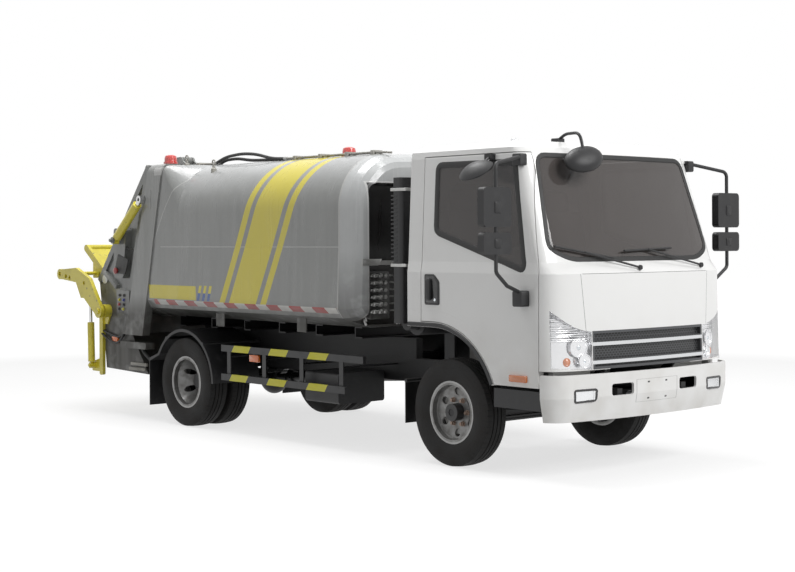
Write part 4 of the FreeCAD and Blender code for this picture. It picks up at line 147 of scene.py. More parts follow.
sky = bpy.data.worlds.new("sky")
sky.use_nodes = True
sky.node_tree.nodes.clear()
sky_light = 0.34
air = Shade(sky.node_tree)
glow = air.node("ShaderNodeBackground", None, {
    "Color": (1, 1, 1, 1), "Strength": sky_light + seen_directly(air) * (1 - sky_light)})
air.node("ShaderNodeOutputWorld", None, {"Surface": glow})
bpy.context.scene.world = sky
bpy.context.scene.view_settings.view_transform = "Standard"


def painted_material(name, **sockets):
    """A new material of one Principled shader, with its sockets' plain values set."""
    material = bpy.data.materials.new(name)
    material.use_nodes = True
    shader = material.node_tree.nodes["Principled BSDF"]
    for key, value in sockets.items():
        shader.inputs[key.replace("_", " ")].default_value = value
    return material, Shade(material.node_tree)


def feed(pen, **sockets):
    """Joins values to sockets of the material's own shader."""
    shader = pen.tree.nodes["Principled BSDF"]
    for key, value in sockets.items():
        pen.tree.links.new(value.socket, shader.inputs[key.replace("_", " ")])


def place_of(pen):
    """The place, in metres, that a material's patterns are laid out by."""
    return pen.node("ShaderNodeTexCoord", output="Object")


# The floor takes the truck's shadow, and fades into the white of the sky further off.
floor_material, pen = painted_material("floor_white", Roughness=0.9)
seen = seen_directly(pen)
feed(pen, Base_Color=seen.mix((0.4, 0.4, 0.4, 1), (0.9, 0.9, 0.9, 1)))
away = pen.node("ShaderNodeVectorMath", {"operation": "LENGTH"}, {0: place_of(pen)}, "Value")
white = pen.node("ShaderNodeEmission", None, {"Color": (1, 1, 1, 1), "Strength": 1.1})
fade = pen.math("MAXIMUM", away.clamp(4.5, 11), 0.64)
both = pen.node("ShaderNodeMixShader", None, {0: seen * fade, 2: white})
floor_nodes = pen.tree.nodes
pen.tree.links.new(floor_nodes["Principled BSDF"].outputs[0], both.socket.node.inputs[1])
pen.tree.links.new(both.socket, floor_nodes["Material Output"].inputs["Surface"])
floor_mesh = bpy.data.meshes.new("floor")
half = 40
floor_mesh.from_pydata([(-half, -half, 0), (half, -half, 0), (half, half, 0), (-half, half, 0)],
                       [], [(0, 1, 2, 3)])
floor_mesh.materials.append(floor_material)
floor = bpy.data.objects.new("floor", floor_mesh)
bpy.context.scene.collection.objects.link(floor)


def soft_lamp(name, place, aim, size, power):
    """A square lamp turned to face the aim."""
    data = bpy.data.lights.new(name, "AREA")
    data.size = size
    data.energy = power
    lamp = bpy.data.objects.new(name, data)
    lamp.location = place
    lamp.rotation_mode = "QUATERNION"
    lamp.rotation_quaternion = (Vector(aim) - Vector(place)).to_track_quat("-Z", "Y")
    bpy.context.scene.collection.objects.link(lamp)


soft_lamp("front_lamp", (11, 0.8, 7), (1, 0, 1.2), 5, 790)
soft_lamp("top_lamp", (-1, -0.8, 9), (-0.8, 0, 1.2), 5, 640)
soft_lamp("side_lamp", (0, -11, 4), (0, 0, 1.2), 6, 30)


# Chassis. Two pressed channels riveted to their cross members, with springs, axles and shafts,
# all sprayed with one thin black coat. Road dust lies on whatever faces upward.
def dress(material, *names):
    """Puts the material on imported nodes."""
    for name in names:
        nodes[name].data.materials.clear()
        nodes[name].data.materials.append(material)


def axes(pen):
    """The three parts of a point's place, the first counted from the front axle."""
    where = place_of(pen)
    parts = [pen.node("ShaderNodeSeparateXYZ", None, {0: where}, part) for part in range(3)]
    return [parts[0] - front_axle_x] + parts[1:]


def cloud(pen, scale, detail=4, stretch=None):
    """An even noise from 0 to 1, with so many waves to the metre."""
    where = place_of(pen)
    if stretch:
        where = pen.node("ShaderNodeVectorMath", {"operation": "MULTIPLY"},
                         {0: where, 1: stretch})
    return pen.node("ShaderNodeTexNoise", None,
                    {"Vector": where, "Scale": scale, "Detail": detail})


def facing_up(pen):
    """How far a surface faces the sky, from 0 to 1."""
    normal = pen.node("ShaderNodeNewGeometry", output="Normal")
    lift = pen.node("ShaderNodeSeparateXYZ", None, {0: normal}, 2)
    return lift.clamp(0.3, 1)


def roughen(pen, height, distance, strength=0.4):
    """Relief from a height pattern, its depth in metres."""
    relief = pen.node("ShaderNodeBump", None,
                      {"Height": height, "Distance": distance, "Strength": strength})
    feed(pen, Normal=relief)


chassis_black, pen = painted_material("chassis_black", Specular_IOR_Level=0.4)
dust = facing_up(pen) * cloud(pen, 9, 6).clamp(0.35, 0.75)
feed(pen, Base_Color=(dust * 0.4).mix((0.008, 0.008, 0.0085, 1), (0.07, 0.064, 0.054, 1)),
     Roughness=0.42 + dust * 0.4)
roughen(pen, cloud(pen, 160, 3), 0.0006)
dress(chassis_black, "ladder_frame", "propeller_shaft", "rear_axle", "front_axle_beam",
      "leaf_springs_front", "leaf_springs_rear", "frame_brackets", "fuel_tank", "subframe",
      "knuckle_right", "knuckle_left", "track_rod")

engine_grey, pen = painted_material("engine_grey", Metallic=0.35)
grease = cloud(pen, 7, 7).clamp(0.4, 0.7)
feed(pen, Base_Color=grease.mix((0.16, 0.16, 0.155, 1), (0.03, 0.027, 0.024, 1)),
     Roughness=0.6 - grease * 0.25)
roughen(pen, cloud(pen, 90, 5), 0.0015)
dress(engine_grey, "engine_block")

# Moulded parts. Mudguards, steps, battery box, air intake and wipers, moulded in black
# polypropylene with a fine spark grain, bolted on, and a little greyer where they are scuffed.
black_plastic, pen = painted_material("black_plastic", Specular_IOR_Level=0.45)
scuff = cloud(pen, 14, 8).clamp(0.55, 0.8)
feed(pen, Base_Color=(scuff * 0.5).mix((0.011, 0.011, 0.012, 1), (0.045, 0.045, 0.045, 1)),
     Roughness=0.46 + scuff * 0.2)
roughen(pen, cloud(pen, 900, 2), 0.0003, 0.5)
dress(black_plastic, "rear_mudguards", "step_panels", "battery_box", "air_intake", "wipers")


# Side guards. Two rails of cold-rolled channel a side, hung on posts from the frame, in black
# enamel with slanted yellow markers. An amber lamp hangs on a bracket at the upper rail.
def skinned(name, rings, material, body, closed=False):
    """Rings of corners joined into a skin, as a piece that moves with that body."""
    build = bmesh.new()
    rings = [[build.verts.new(corner) for corner in ring] for ring in rings]
    count = len(rings[0])
    for i in range(len(rings) if closed else len(rings) - 1):
        first, second = rings[i], rings[(i + 1) % len(rings)]
        for j in range(count):
            k = (j + 1) % count
            build.faces.new((first[j], first[k], second[k], second[j]))
    if not closed:
        build.faces.new(rings[0])
        build.faces.new(rings[-1])
    bmesh.ops.recalc_face_normals(build, faces=build.faces[:])
    mesh = bpy.data.meshes.new(name)
    build.to_mesh(mesh)
    build.free()
    mesh.shade_smooth()
    mesh.set_sharp_from_angle(angle=math.radians(38))
    mesh.materials.append(material)
    piece = bpy.data.objects.new(name, mesh)
    bpy.context.scene.collection.objects.link(piece)
    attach(piece, body)
    return piece


def softened(points, radius, steps=4, closed=False):
    """The path with its corners rounded."""
    path = []
    count = len(points)
    for i, point in enumerate(points):
        if not closed and i in (0, count - 1):
            path.append(point)
            continue
        before, after = points[i - 1], points[(i + 1) % count]
        reach = min(radius, (before - point).length / 2.05, (after - point).length / 2.05)
        start = point + (before - point).normalized() * reach
        end = point + (after - point).normalized() * reach
        for step in range(steps + 1):
            part = step / steps
            path.append(start * (1 - part) ** 2 + point * 2 * part * (1 - part)
                        + end * part ** 2)
    return path


def plate(name, plane, outline, near, far, corner, edge, material, body):
    """A plate with round corners and a soft rim, on an outline drawn in one plane."""
    def at(a, b, depth):
        if plane == "side":
            return spot(a, depth, b)
        return spot(depth, a, b) if plane == "front" else spot(a, b, depth)

    path = softened([at(a, b, near) for a, b in outline], corner, 4, True)
    rise = at(0, 0, far) - at(0, 0, near)
    rim = rise.normalized() * edge
    middle = sum(path, Vector()) / len(path)
    rings = [path, [point + rise - rim for point in path]]
    for part in (0.3, 1):
        rings.append([point + rise - rim * (1 - part ** 0.5)
                      + (middle - point).normalized() * edge * part for point in path])
    return skinned(name, rings, material, body)


def box_outline(low_a, high_a, low_b, high_b):
    return [(low_a, low_b), (high_a, low_b), (high_a, high_b), (low_a, high_b)]


def between(value, low, high):
    """1 where the value lies between the two, and else 0."""
    return (value > low) * (value < high)


guard_paint, pen = painted_material("guard_paint")
x, y, z = axes(pen)
wear = cloud(pen, 11, 7).clamp(0.5, 0.8)
marker = 0
for rail_z, first, pitch in ((0.7125, -2.462, 0.515), (0.4695, -2.497, 0.525)):
    on_rail = abs(z - rail_z) < 0.06
    for row in range(3):
        middle = first + pitch * row
        slant = between(x - (z - rail_z) * 0.7, middle - 0.118, middle + 0.118)
        marker = marker + slant * on_rail
marker = marker * (abs(y) > 0.945)
feed(pen, Base_Color=marker.mix((0.009, 0.009, 0.01, 1), (0.62, 0.58, 0.03, 1)),
     Roughness=0.3 + wear * 0.3)
roughen(pen, cloud(pen, 220, 3), 0.0004)
dress(guard_paint, "side_guards")


def even_coat(name, colour, roughness, spread, waves, grain=None, **sockets):
    """One colour with a gloss that varies a little, over a grain of waves, depth and strength."""
    material, pen = painted_material(name, Base_Color=colour, **sockets)
    feed(pen, Roughness=roughness + cloud(pen, waves) * spread)
    if grain:
        roughen(pen, cloud(pen, grain[0], 2), *grain[1:])
    return material


orange_lens = even_coat("orange_lens", (0.75, 0.16, 0.02, 1), 0.2, 0.1, 90, Coat_Weight=1)
hands = (("right", -1), ("left", 1))
for hand, side in hands:
    plate(f"guard_lamp_bracket_{hand}", "side", box_outline(-2.33, -2.265, 0.655, 0.71),
          0.92 * side, 0.936 * side, 0.004, 0.002, guard_paint, "root")
    plate(f"guard_lamp_{hand}", "side", box_outline(-2.361, -2.234, 0.617, 0.677), 0.93 * side,
          0.952 * side, 0.01, 0.005, orange_lens, "root")


# Wheels. Pressed steel discs in silver lacquer, with brake dust in the corners, a black hub and
# six nuts that have begun to rust.
axle_z = 0.387
nut_circle = 0.095
front_face = 0.808
rear_face = 0.762


def circle(radius, count):
    """Points round a circle, as pairs."""
    return [(radius * math.cos(math.tau * i / count), radius * math.sin(math.tau * i / count))
            for i in range(count)]


def lathe(name, profile, centre, axis, material, body, count=28):
    """A profile of radius and distance pairs turned about an axis."""
    turn = Vector(axis).to_track_quat("Z", "Y")
    rings = [[spot(*centre) + turn @ Vector((a, b, along)) for a, b in circle(radius, count)]
             for radius, along in profile]
    return skinned(name, rings, material, body)


def distance(pen, centre_x, centre_z):
    """The distance, seen from the side, from a place on the truck."""
    x, y, z = axes(pen)
    across = x - centre_x
    upright = z - centre_z
    return pen.math("SQRT", across * across + upright * upright)


def wheel_material(name, centre_x, nuts_from):
    material, pen = painted_material(name)
    out = abs(axes(pen)[1])
    reach = distance(pen, centre_x, axle_z)
    dust = cloud(pen, 16, 7).clamp(0.42, 0.8)
    hub = reach < 0.0622
    nuts = between(reach, 0.083, 0.107) * (out > nuts_from)
    rim = reach > 0.212
    silver = (dust * 0.75).mix((0.24, 0.24, 0.236, 1), (0.06, 0.05, 0.04, 1))
    silver = rim.mix(silver, (0.34, 0.34, 0.335, 1))
    rusty = cloud(pen, 70).mix((0.2, 0.1, 0.05, 1), (0.34, 0.3, 0.27, 1))
    feed(pen, Base_Color=hub.mix(nuts.mix(silver, rusty), (0.02, 0.02, 0.02, 1)),
         Metallic=(1 - hub) * 0.55, Roughness=0.34 + dust * 0.3)
    roughen(pen, cloud(pen, 120, 4), 0.0005)
    return material


dress(wheel_material("wheel_silver_front", 0, front_face + 0.0005), "wheel_front_right",
      "wheel_front_left")
dress(wheel_material("wheel_silver_rear", rear_axle, rear_face), "wheels_rear_right",
      "wheels_rear_left")
rust, pen = painted_material("nut_rust", Metallic=0.4)
feed(pen, Base_Color=cloud(pen, 60).mix((0.26, 0.13, 0.07, 1), (0.42, 0.36, 0.32, 1)),
     Roughness=0.5 + cloud(pen, 90) * 0.2)
for hand, side, rest_deg in (("right", -1, 0), ("left", 1, 20)):
    for body, centre_x, face in (("wheel_front_" + hand, 0, front_face),
                                 ("wheels_rear_" + hand, rear_axle, rear_face)):
        for i in range(6):
            turn = math.tau * i / 6 - math.radians(rest_deg)
            centre = (centre_x + nut_circle * math.cos(turn), face * side,
                      axle_z + nut_circle * math.sin(turn))
            lathe(f"{body}_nut_{i}", [(0.021, 0), (0.021, 0.003), (0.0165, 0.004),
                                      (0.0165, 0.016), (0.014, 0.0185)],
                  centre, (0, side, 0), rust, body, 6)


# Tyres. Carbon-black rubber moulded over a steel carcass and pressed on the rims, greyer on the
# tread, with ribs, shoulder lugs and raised rings. The rear wheels stand in pairs.
lugs_per_radian = 9.55


def tyre_material(name, centre_x, middles):
    """Rubber whose tread pattern is laid out round one axle."""
    material, pen = painted_material(name, Specular_IOR_Level=0.3)
    x, y, z = axes(pen)
    out = abs(y)
    reach = distance(pen, centre_x, axle_z)
    turn = pen.math("ARCTAN2", z - axle_z, x - centre_x)
    lug = pen.math("FRACT", turn * lugs_per_radian) < 0.28
    bloom = cloud(pen, 8, 6).clamp(0.35, 0.75)
    across = abs(out - middles[0])
    if len(middles) > 1:
        across = pen.math("MINIMUM", across, abs(out - middles[1]))
    tread = reach > 0.374
    grooves = between(across, 0.017, 0.024) + between(across, 0.044, 0.05)
    lugs = lug * (across > 0.05)
    wall_lugs = lug * between(reach, 0.345, 0.38)
    cut = (tread * (grooves + lugs)).clamp(0, 1)
    rings = between(reach, 0.283, 0.286) + between(reach, 0.318, 0.321)
    feed(pen, Base_Color=(bloom * 0.6 * (1 - cut)).mix((0.007, 0.007, 0.007, 1),
                                                       (0.03, 0.027, 0.025, 1)),
         Roughness=0.66 + bloom * 0.2)
    height = rings * 0.25 - cut - wall_lugs * 0.6 + cloud(pen, 240, 4) * 0.08
    roughen(pen, height, 0.009, 0.9)
    return material


dress(tyre_material("tyre_rubber_front", 0, (0.796,)), "tyre_front_right", "tyre_front_left")
dress(tyre_material("tyre_rubber_rear", rear_axle, (0.868, 0.632)), "tyres_rear_right",
      "tyres_rear_left")

# Cab. Pressed and welded steel in gloss white enamel, with a film of dust toward the sills, a
# swage round each wheel arch, and the shut lines of the lifting panel under the screen. Drawn on
# it too are the edge of the blank number plate and the plate's four slots.
cab_white, pen = painted_material("cab_white", Coat_Roughness=0.06)
x, y, z = axes(pen)
out = abs(y)
film = (z.clamp(1.1, 0.55) + 0.12) * cloud(pen, 5, 7).clamp(0.3, 0.85)
shut = between(z, 1.3835, 1.3865) * (out < 0.665)
shut = shut + between(out - z * 0.09, 0.5535, 0.5565) * between(z, 1, 1.385)
line = (shut * (x > 0.92)).clamp(0, 1)
arch_x = -0.121
arch_z = 0.363
swage = between(distance(pen, arch_x, arch_z), 0.745, 0.757) * (z > 0.63) * (x > arch_x)
swage = (swage + between(z, 1.108, 1.12) * (x < arch_x)) * (out > 0.93)
plate_half_width = 0.217
plate_half_height = 0.078
over_plate = abs(z - 0.578)
number = pen.math("MAXIMUM", out * (1 / plate_half_width), over_plate * (1 / plate_half_height))
number = between(number, 0.985, 1.01) * (x > 1.1) * (z < 0.7)
slots = (abs(out - 0.094) < 0.011) * (abs(over_plate - 0.056) < 0.0055) * (x > 1.1)
white = (film * 0.45).mix((0.8, 0.8, 0.79, 1), (0.5, 0.47, 0.42, 1))
marked = (number * 0.45 + line * 0.93 + slots).clamp(0, 1)
feed(pen, Base_Color=marked.mix(white, (0.012, 0.012, 0.012, 1)), Roughness=0.3 + film * 0.35,
     Coat_Weight=0.6 - film * 0.5)
roughen(pen, cloud(pen, 60, 2) * 0.02 + swage - line - number * 0.5, 0.004, 0.5)
dress(cab_white, "cab_shell", "door_right", "door_left", "front_bumper")


def dress_part(material, test, *names):
    """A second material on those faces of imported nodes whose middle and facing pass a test."""
    for name in names:
        mesh = nodes[name].data
        mesh.materials.append(material)
        slot = len(mesh.materials) - 1
        for face in mesh.polygons:
            middle = face.center - Vector((front_axle_x, 0, 0))
            if test(middle, face.normal):
                face.material_index = slot


mirror_glass, pen = painted_material("mirror_glass", Base_Color=(0.62, 0.65, 0.68, 1), Metallic=1)
feed(pen, Roughness=0.03 + cloud(pen, 5).clamp(0.5, 0.9) * 0.06)


def on_mirror_arm(middle, normal):
    kerb_block = 0.39 < middle.x < 0.49 and middle.z > 2.165 and middle.y < -0.85
    corner_block = middle.z > 2.1 and middle.x > 0.69 and abs(middle.y) > 0.9
    return abs(middle.y) > 0.946 or kerb_block or corner_block


def on_mirror_back(middle, normal):
    under_dome = middle.y < -0.95 and middle.z > 1.95 and normal.z < -0.7 and normal.y > 0.3
    return under_dome or (abs(middle.y) > 1 and normal.x < -0.9 and middle.z > 1.49)


dress_part(black_plastic, on_mirror_arm, "door_right", "door_left")
dress_part(mirror_glass, on_mirror_back, "door_right", "door_left")

# Rubber seals. Extruded strips, pressed into the gaps round the windscreen and the door windows
# so that they hold the glass and lie along its edge.
rubber = even_coat("seal_rubber", (0.012, 0.012, 0.012, 1), 0.5, 0.2, 40, (500, 0.0003))


def walk(points, step):
    """The closed path with further points put in, none further apart than the step."""
    path = []
    for start, end in zip(points, points[1:] + points[:1]):
        pieces = max(1, math.ceil((end - start).length / step))
        path += [start.lerp(end, piece / pieces) for piece in range(pieces)]
    return path


def sweep(name, path, section, material, body, faces=None, closed=False):
    """A section carried along a path. Faces, where given, say which way its top looks."""
    rings = []
    count = len(path)
    top = up if abs((path[1] - path[0]).normalized().z) < 0.9 else Vector((1, 0, 0))
    for i, point in enumerate(path):
        before = path[i - 1] if i or closed else point
        after = path[(i + 1) % count] if closed or i + 1 < count else point
        along = (after - before).normalized()
        side = along.cross(faces[i] if faces else top).normalized()
        top = side.cross(along)
        rings.append([point + side * a + top * b for a, b in section])
    return skinned(name, rings, material, body, closed)


def surface(*names):
    """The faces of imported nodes, to lay things on."""
    return [BVHTree.FromPolygons([vertex.co[:] for vertex in mesh.vertices],
                                 [face.vertices[:] for face in mesh.polygons])
            for mesh in (nodes[name].data for name in names)]


def touch(trees, start, direction):
    """Where a ray first meets those faces, and which way the face looks."""
    hits = [hit for hit in (tree.ray_cast(start, direction) for tree in trees) if hit[0]]
    if not hits:
        return None
    place, normal = min(hits, key=lambda hit: hit[3])[:2]
    return place, normal if normal.dot(direction) < 0 else -normal


def strip_section(width, height):
    """The section of a strip with a flat foot and a narrower top."""
    half = width / 2
    return [(-half, -height), (half, -height), (half, height * 0.35), (half * 0.7, height),
            (-half * 0.7, height), (-half, height * 0.35)]


def laid_strip(name, trees, starts, direction, section, material, body):
    """A closed strip laid on a surface along the places that parallel rays meet."""
    path, faces = zip(*(hit for hit in (touch(trees, start, direction) for start in starts)
                        if hit))
    smooth = [sum((faces[k % len(faces)] for k in range(i - 1, i + 2)), Vector()).normalized()
              for i in range(len(faces))]
    return sweep(name, path, section, material, body, smooth, True)


def shrunk(points, depth):
    """An outline with its corners moved toward its middle."""
    middle = sum(points, Vector()) / len(points)
    return [point + (middle - point).normalized() * depth for point in points]


backward = Vector((-1, 0, 0))
screen = [(-0.858, 1.548), (-0.69, 1.474), (0.69, 1.474), (0.858, 1.548), (0.778, 2.2),
          (-0.778, 2.2)]
starts = walk(softened(shrunk([spot(2, y, z) for y, z in screen], 0.012), 0.075, 5, True), 0.05)
laid_strip("screen_seal", surface("cab_glass"), starts, backward, strip_section(0.036, 0.007),
           rubber, "cab")
for hand, side in hands:
    window = [spot(x, 2 * side, z) for x, z in ((-0.13, 1.667), (-0.126, 2.165),
                                                (0.677, 2.16), (0.799, 1.39))]
    starts = walk(softened(shrunk(window, 0.02), 0.05, 5, True), 0.05)
    laid_strip(f"window_seal_{hand}", surface("door_glass_" + hand), starts,
               Vector((0, -side, 0)), strip_section(0.046, 0.007), rubber, "door_" + hand)


# Door and cab fittings. Black mouldings clipped or screwed on: the handle in its bezel, the
# trim along the wheel arch, the mirror clamps, and an amber lamp low on each door.
def ribbed_lens(name, colour, axis, waves, roughness, depth, **sockets):
    """A moulded lens with fine ribs, which follow one another along an axis."""
    material, pen = painted_material(name, Base_Color=colour, Coat_Weight=1, **sockets)
    ribs = pen.math("SINE", axes(pen)[axis] * waves)
    feed(pen, Roughness=roughness + ribs * 0.05)
    roughen(pen, ribs, depth)
    return material


amber_lens = ribbed_lens("amber_lens", (0.62, 0.16, 0.02, 1), 2, 900, 0.16, 0.0008)
gloss_black = even_coat("gloss_black", (0.008, 0.008, 0.009, 1), 0.22, 0.1, 30, Coat_Weight=0.5)
trim_radius = 0.646
door_skin = 0.94
for hand, side in hands:
    door = "door_" + hand
    skin = door_skin * side
    handle = [(-0.205, 1.152), (-0.205, 1.372), (-0.105, 1.372), (-0.05, 1.32), (-0.05, 1.152)]
    plate(door + "_handle_bezel", "side", handle, skin, skin + 0.006 * side, 0.016, 0.003,
          black_plastic, door)
    recess = [(-0.19, 1.168), (-0.19, 1.356), (-0.112, 1.356), (-0.068, 1.312), (-0.068, 1.168)]
    plate(door + "_handle_recess", "side", recess, skin + 0.003 * side, skin + 0.0075 * side,
          0.014, 0.002, gloss_black, door)
    plate(door + "_handle", "side", box_outline(-0.165, -0.128, 1.185, 1.345),
          skin + 0.005 * side, skin + 0.03 * side, 0.016, 0.008, black_plastic, door)
    lathe(door + "_lock", [(0.011, 0), (0.011, 0.003), (0.008, 0.005)],
          (-0.092, skin + 0.0075 * side, 1.19), (0, side, 0), mirror_glass, door, 16)
    plate(door + "_side_lamp", "side", box_outline(0.648, 0.812, 0.656, 0.702), skin,
          skin + 0.016 * side, 0.01, 0.005, amber_lens, door)
    path = [spot(-0.385, skin, 1.009), spot(-0.25, skin, 1.009)]
    for step in range(25):
        turn = math.radians(66.5) * step / 24
        path.append(spot(arch_x + trim_radius * math.sin(turn), skin,
                         arch_z + trim_radius * math.cos(turn)))
    sweep("arch_trim_" + hand, path, strip_section(0.03, 0.009), black_plastic, "cab",
          [Vector((0, side, 0))] * len(path))
    arm_y = 1.24 * side
    for low, high in ((1.79, 1.87), (1.56, 1.625)):
        plate(f"{door}_clamp_{low}", "front", box_outline(arm_y - 0.03, arm_y + 0.03, low, high),
              0.8, 0.848, 0.012, 0.006, black_plastic, door)
    plate(door + "_arm_foot", "side", box_outline(0.745, 0.835, 1.168, 1.275), skin,
          skin + 0.075 * side, 0.014, 0.006, black_plastic, door)
    plate(door + "_arm_root", "side", box_outline(0.672, 0.752, 2.118, 2.2), 0.872 * side,
          0.935 * side, 0.014, 0.006, black_plastic, door)

# Glass. A laminated windscreen and toughened door panes with a warm tint, held by the seals.
# Dust and wiping leave faint smears on them.
cab_tint, pen = painted_material(
    "tinted_glass", Base_Color=(0.085, 0.075, 0.071, 1), Specular_IOR_Level=0.6)
smear = cloud(pen, 3.5, 6).clamp(0.45, 0.8)
feed(pen, Roughness=0.03 + smear * 0.07, Alpha=0.72 + smear * 0.08)
dress(cab_tint, "cab_glass", "door_glass_right", "door_glass_left")

# Headlamps. Vacuum-plated reflectors behind a clear moulded cover: ribs above, two round bowls
# and an amber bulb below.
clear_cover, pen = painted_material("clear_cover", Base_Color=(0.9, 0.92, 0.94, 1), Coat_Weight=1)
feed(pen, Roughness=0.02 + cloud(pen, 8).clamp(0.5, 0.9) * 0.05,
     Alpha=0.13 + cloud(pen, 6).clamp(0.4, 0.9) * 0.05)
reflector, pen = painted_material("reflector", Base_Color=(0.78, 0.78, 0.79, 1), Metallic=1)
z = axes(pen)[2]
ribs = pen.math("SINE", z * 210) * (z > 0.93)
feed(pen, Roughness=0.14 + cloud(pen, 20) * 0.12)
roughen(pen, ribs + cloud(pen, 14) * 0.3, 0.006, 0.8)
dress(clear_cover, "headlamps")
dress_part(reflector, lambda middle, normal: normal.x + 0.8 * abs(normal.y) * (
    1 if normal.y * middle.y > 0 else -1) < 0.35, "headlamps")
for hand, side in hands:
    facing = (1, 0.28 * side, 0)
    for part, (place_y, place_z, radius, depth_x) in enumerate((
            (0.69, 0.893, 0.062, 1.055), (0.65, 0.802, 0.044, 1.075))):
        centre = (depth_x - 0.028, place_y * side, place_z)
        bowl = [(radius * 0.2, 0.002), (radius * 0.55, 0.006), (radius * 0.9, 0.02),
                (radius, 0.034), (radius * 1.08, 0.034), (radius * 1.08, 0.028)]
        lathe(f"lamp_bowl_{hand}_{part}", bowl, centre, facing, reflector, "cab")
        lathe(f"lamp_bulb_{hand}_{part}", [(radius * 0.34, 0.004), (radius * 0.34, 0.022),
                                          (radius * 0.24, 0.03), (radius * 0.1, 0.033)],
              centre, facing, mirror_glass, "cab", 18)
    lathe(f"lamp_amber_{hand}", [(0.03, 0), (0.03, 0.012), (0.022, 0.02), (0.008, 0.024)],
          (1, 0.765 * side, 0.795), facing, amber_lens, "cab", 20)

# Grille. A dark moulded frame clipped into the cab's front, with a honeycomb mesh behind two
# bars plated bright.
grille_black, pen = painted_material("grille_black")
x, y, z = axes(pen)
rows = z * 62
shift = pen.math("FLOOR", rows)
columns = y * 34 + shift * 0.5
cell_y = abs(pen.math("FRACT", columns + 200) - 0.5)
cell_z = abs(pen.math("FRACT", rows) - 0.5)
hole_shade = pen.math("MAXIMUM", cell_y * 0.9 + cell_z * 0.5, cell_z) < 0.38
bars = between(z, 0.777, 0.801) + between(z, 0.9, 0.924)
field = between(z, 0.762, 0.982) * (abs(y) < 0.57) * (1 - bars)
hole_shade = hole_shade * field
# The mesh's holes are painted near black, as painted shade in the space behind them.
feed(pen, Base_Color=bars.mix(hole_shade.mix((0.06, 0.062, 0.066, 1), (0.004, 0.004, 0.004, 1)),
                              (0.66, 0.67, 0.68, 1)),
     Metallic=bars * 0.9, Roughness=0.36 - bars * 0.2 + cloud(pen, 30) * 0.1)
roughen(pen, 1 - hole_shade, 0.006, 0.9)
dress(grille_black, "grille")

# Bumper. One white pressing, bolted to brackets on the frame. A lamp with a faceted lens is let
# into each end, in a dark bezel.
lamp_lens = ribbed_lens("lamp_lens", (0.8, 0.81, 0.82, 1), 1, 420, 0.12, 0.003, Metallic=0.6)
dress(lamp_lens, "fog_lamps")
bumper = surface("front_bumper", "fog_lamps")
for hand, side in hands:
    outline = [spot(2, y * side, z) for y, z in ((0.599, 0.539), (0.778, 0.534), (0.782, 0.612),
                                                 (0.592, 0.612))]
    starts = walk(softened(outline, 0.014, 3, True), 0.03)
    laid_strip("fog_bezel_" + hand, bumper, starts, backward, strip_section(0.016, 0.005),
               gloss_black, "root")

# Mirror ahead of the screen and the cab's roof lamps. The mirror is an oval moulded dome on a
# bent steel tube, with its convex glass looking down at the ground before the bumper.
cab_roof = 2.297
dish_half_length = 0.155
dish_half_width = 0.1
dish_middle = spot(0.905, -0.47, 2.165)
dish_face = Vector((0.78, -0.3, 0.55)).normalized()
dish_long = Vector((0.56, 0.65, 0.51))
dish_long = (dish_long - dish_face * dish_long.dot(dish_face)).normalized()
dish_short = dish_face.cross(dish_long)


def tube(name, points, radius, bend, material, body, sides=10):
    """A round bar or pipe with bent corners."""
    return sweep(name, softened([spot(*point) for point in points], bend), circle(radius, sides),
                 material, body)


def oval(name, profile, material):
    """An oval form about the mirror's own axis, from shares of its size and rises."""
    rings = []
    for share, rise in profile:
        corners = zip(circle(dish_half_length * share, 40), circle(dish_half_width * share, 40))
        rings.append([dish_middle + dish_face * rise + dish_long * a + dish_short * b
                      for (a, _), (_, b) in corners])
    return skinned(name, rings, material, "cab")


dish = oval("front_mirror_dish", [(0.97, -0.012), (1, -0.008), (1, 0), (0.97, 0.012),
                                  (0.88, 0.028), (0.7, 0.044), (0.42, 0.055), (0.12, 0.059)],
            black_plastic)
oval("front_mirror_glass", [(0.93, -0.011), (0.93, -0.014), (0.6, -0.019), (0.2, -0.021)],
     mirror_glass)
tube("front_mirror_neck", [(0.625, -0.421, 2.312), (0.69, -0.421, 2.352), (0.865, -0.465, 2.352),
                           (0.905, -0.468, 2.2)], 0.011, 0.06, black_plastic, "cab", 14)
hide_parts("front_mirror")
plate("front_mirror_foot", "top", box_outline(0.585, 0.655, -0.46, -0.385), cab_roof, 2.325,
      0.012, 0.006, black_plastic, "cab")
for hand, side in hands:
    lamp_foot = (0.43, 0.66 * side, cab_roof)
    lathe("roof_lamp_foot_" + hand, [(0.034, 0), (0.034, 0.008), (0.03, 0.01)], lamp_foot,
          (0, 0, 1), black_plastic, "cab", 24)
    lathe("roof_lamp_" + hand, [(0.028, 0.008), (0.028, 0.02), (0.022, 0.03), (0.01, 0.035)],
          lamp_foot, (0, 0, 1), lamp_lens, "cab", 24)


# Seats. Moulded foam in woven covers with a stitched edge, on a base bolted to the cab's floor.
# Each headrest stands on a steel post.
def pillow(name, middle, size, lean, material):
    """A padded block with full faces and round corners."""
    turn = Matrix.Rotation(math.radians(lean), 3, "Y")
    steps, count = 12, 28

    def full(value):
        return math.copysign(abs(value) ** 0.38, value)

    rings = []
    for i in range(1, steps):
        rise = -math.pi / 2 + math.pi * i / steps
        flat = full(math.cos(rise))
        ring = []
        for j in range(count):
            round_turn = math.tau * j / count
            corner = Vector((full(math.cos(round_turn)) * flat * size[0] / 2,
                             full(math.sin(round_turn)) * flat * size[1] / 2,
                             full(math.sin(rise)) * size[2] / 2))
            ring.append(spot(*middle) + turn @ corner)
        rings.append(ring)
    piece = skinned(name, rings, material, "cab")
    return piece


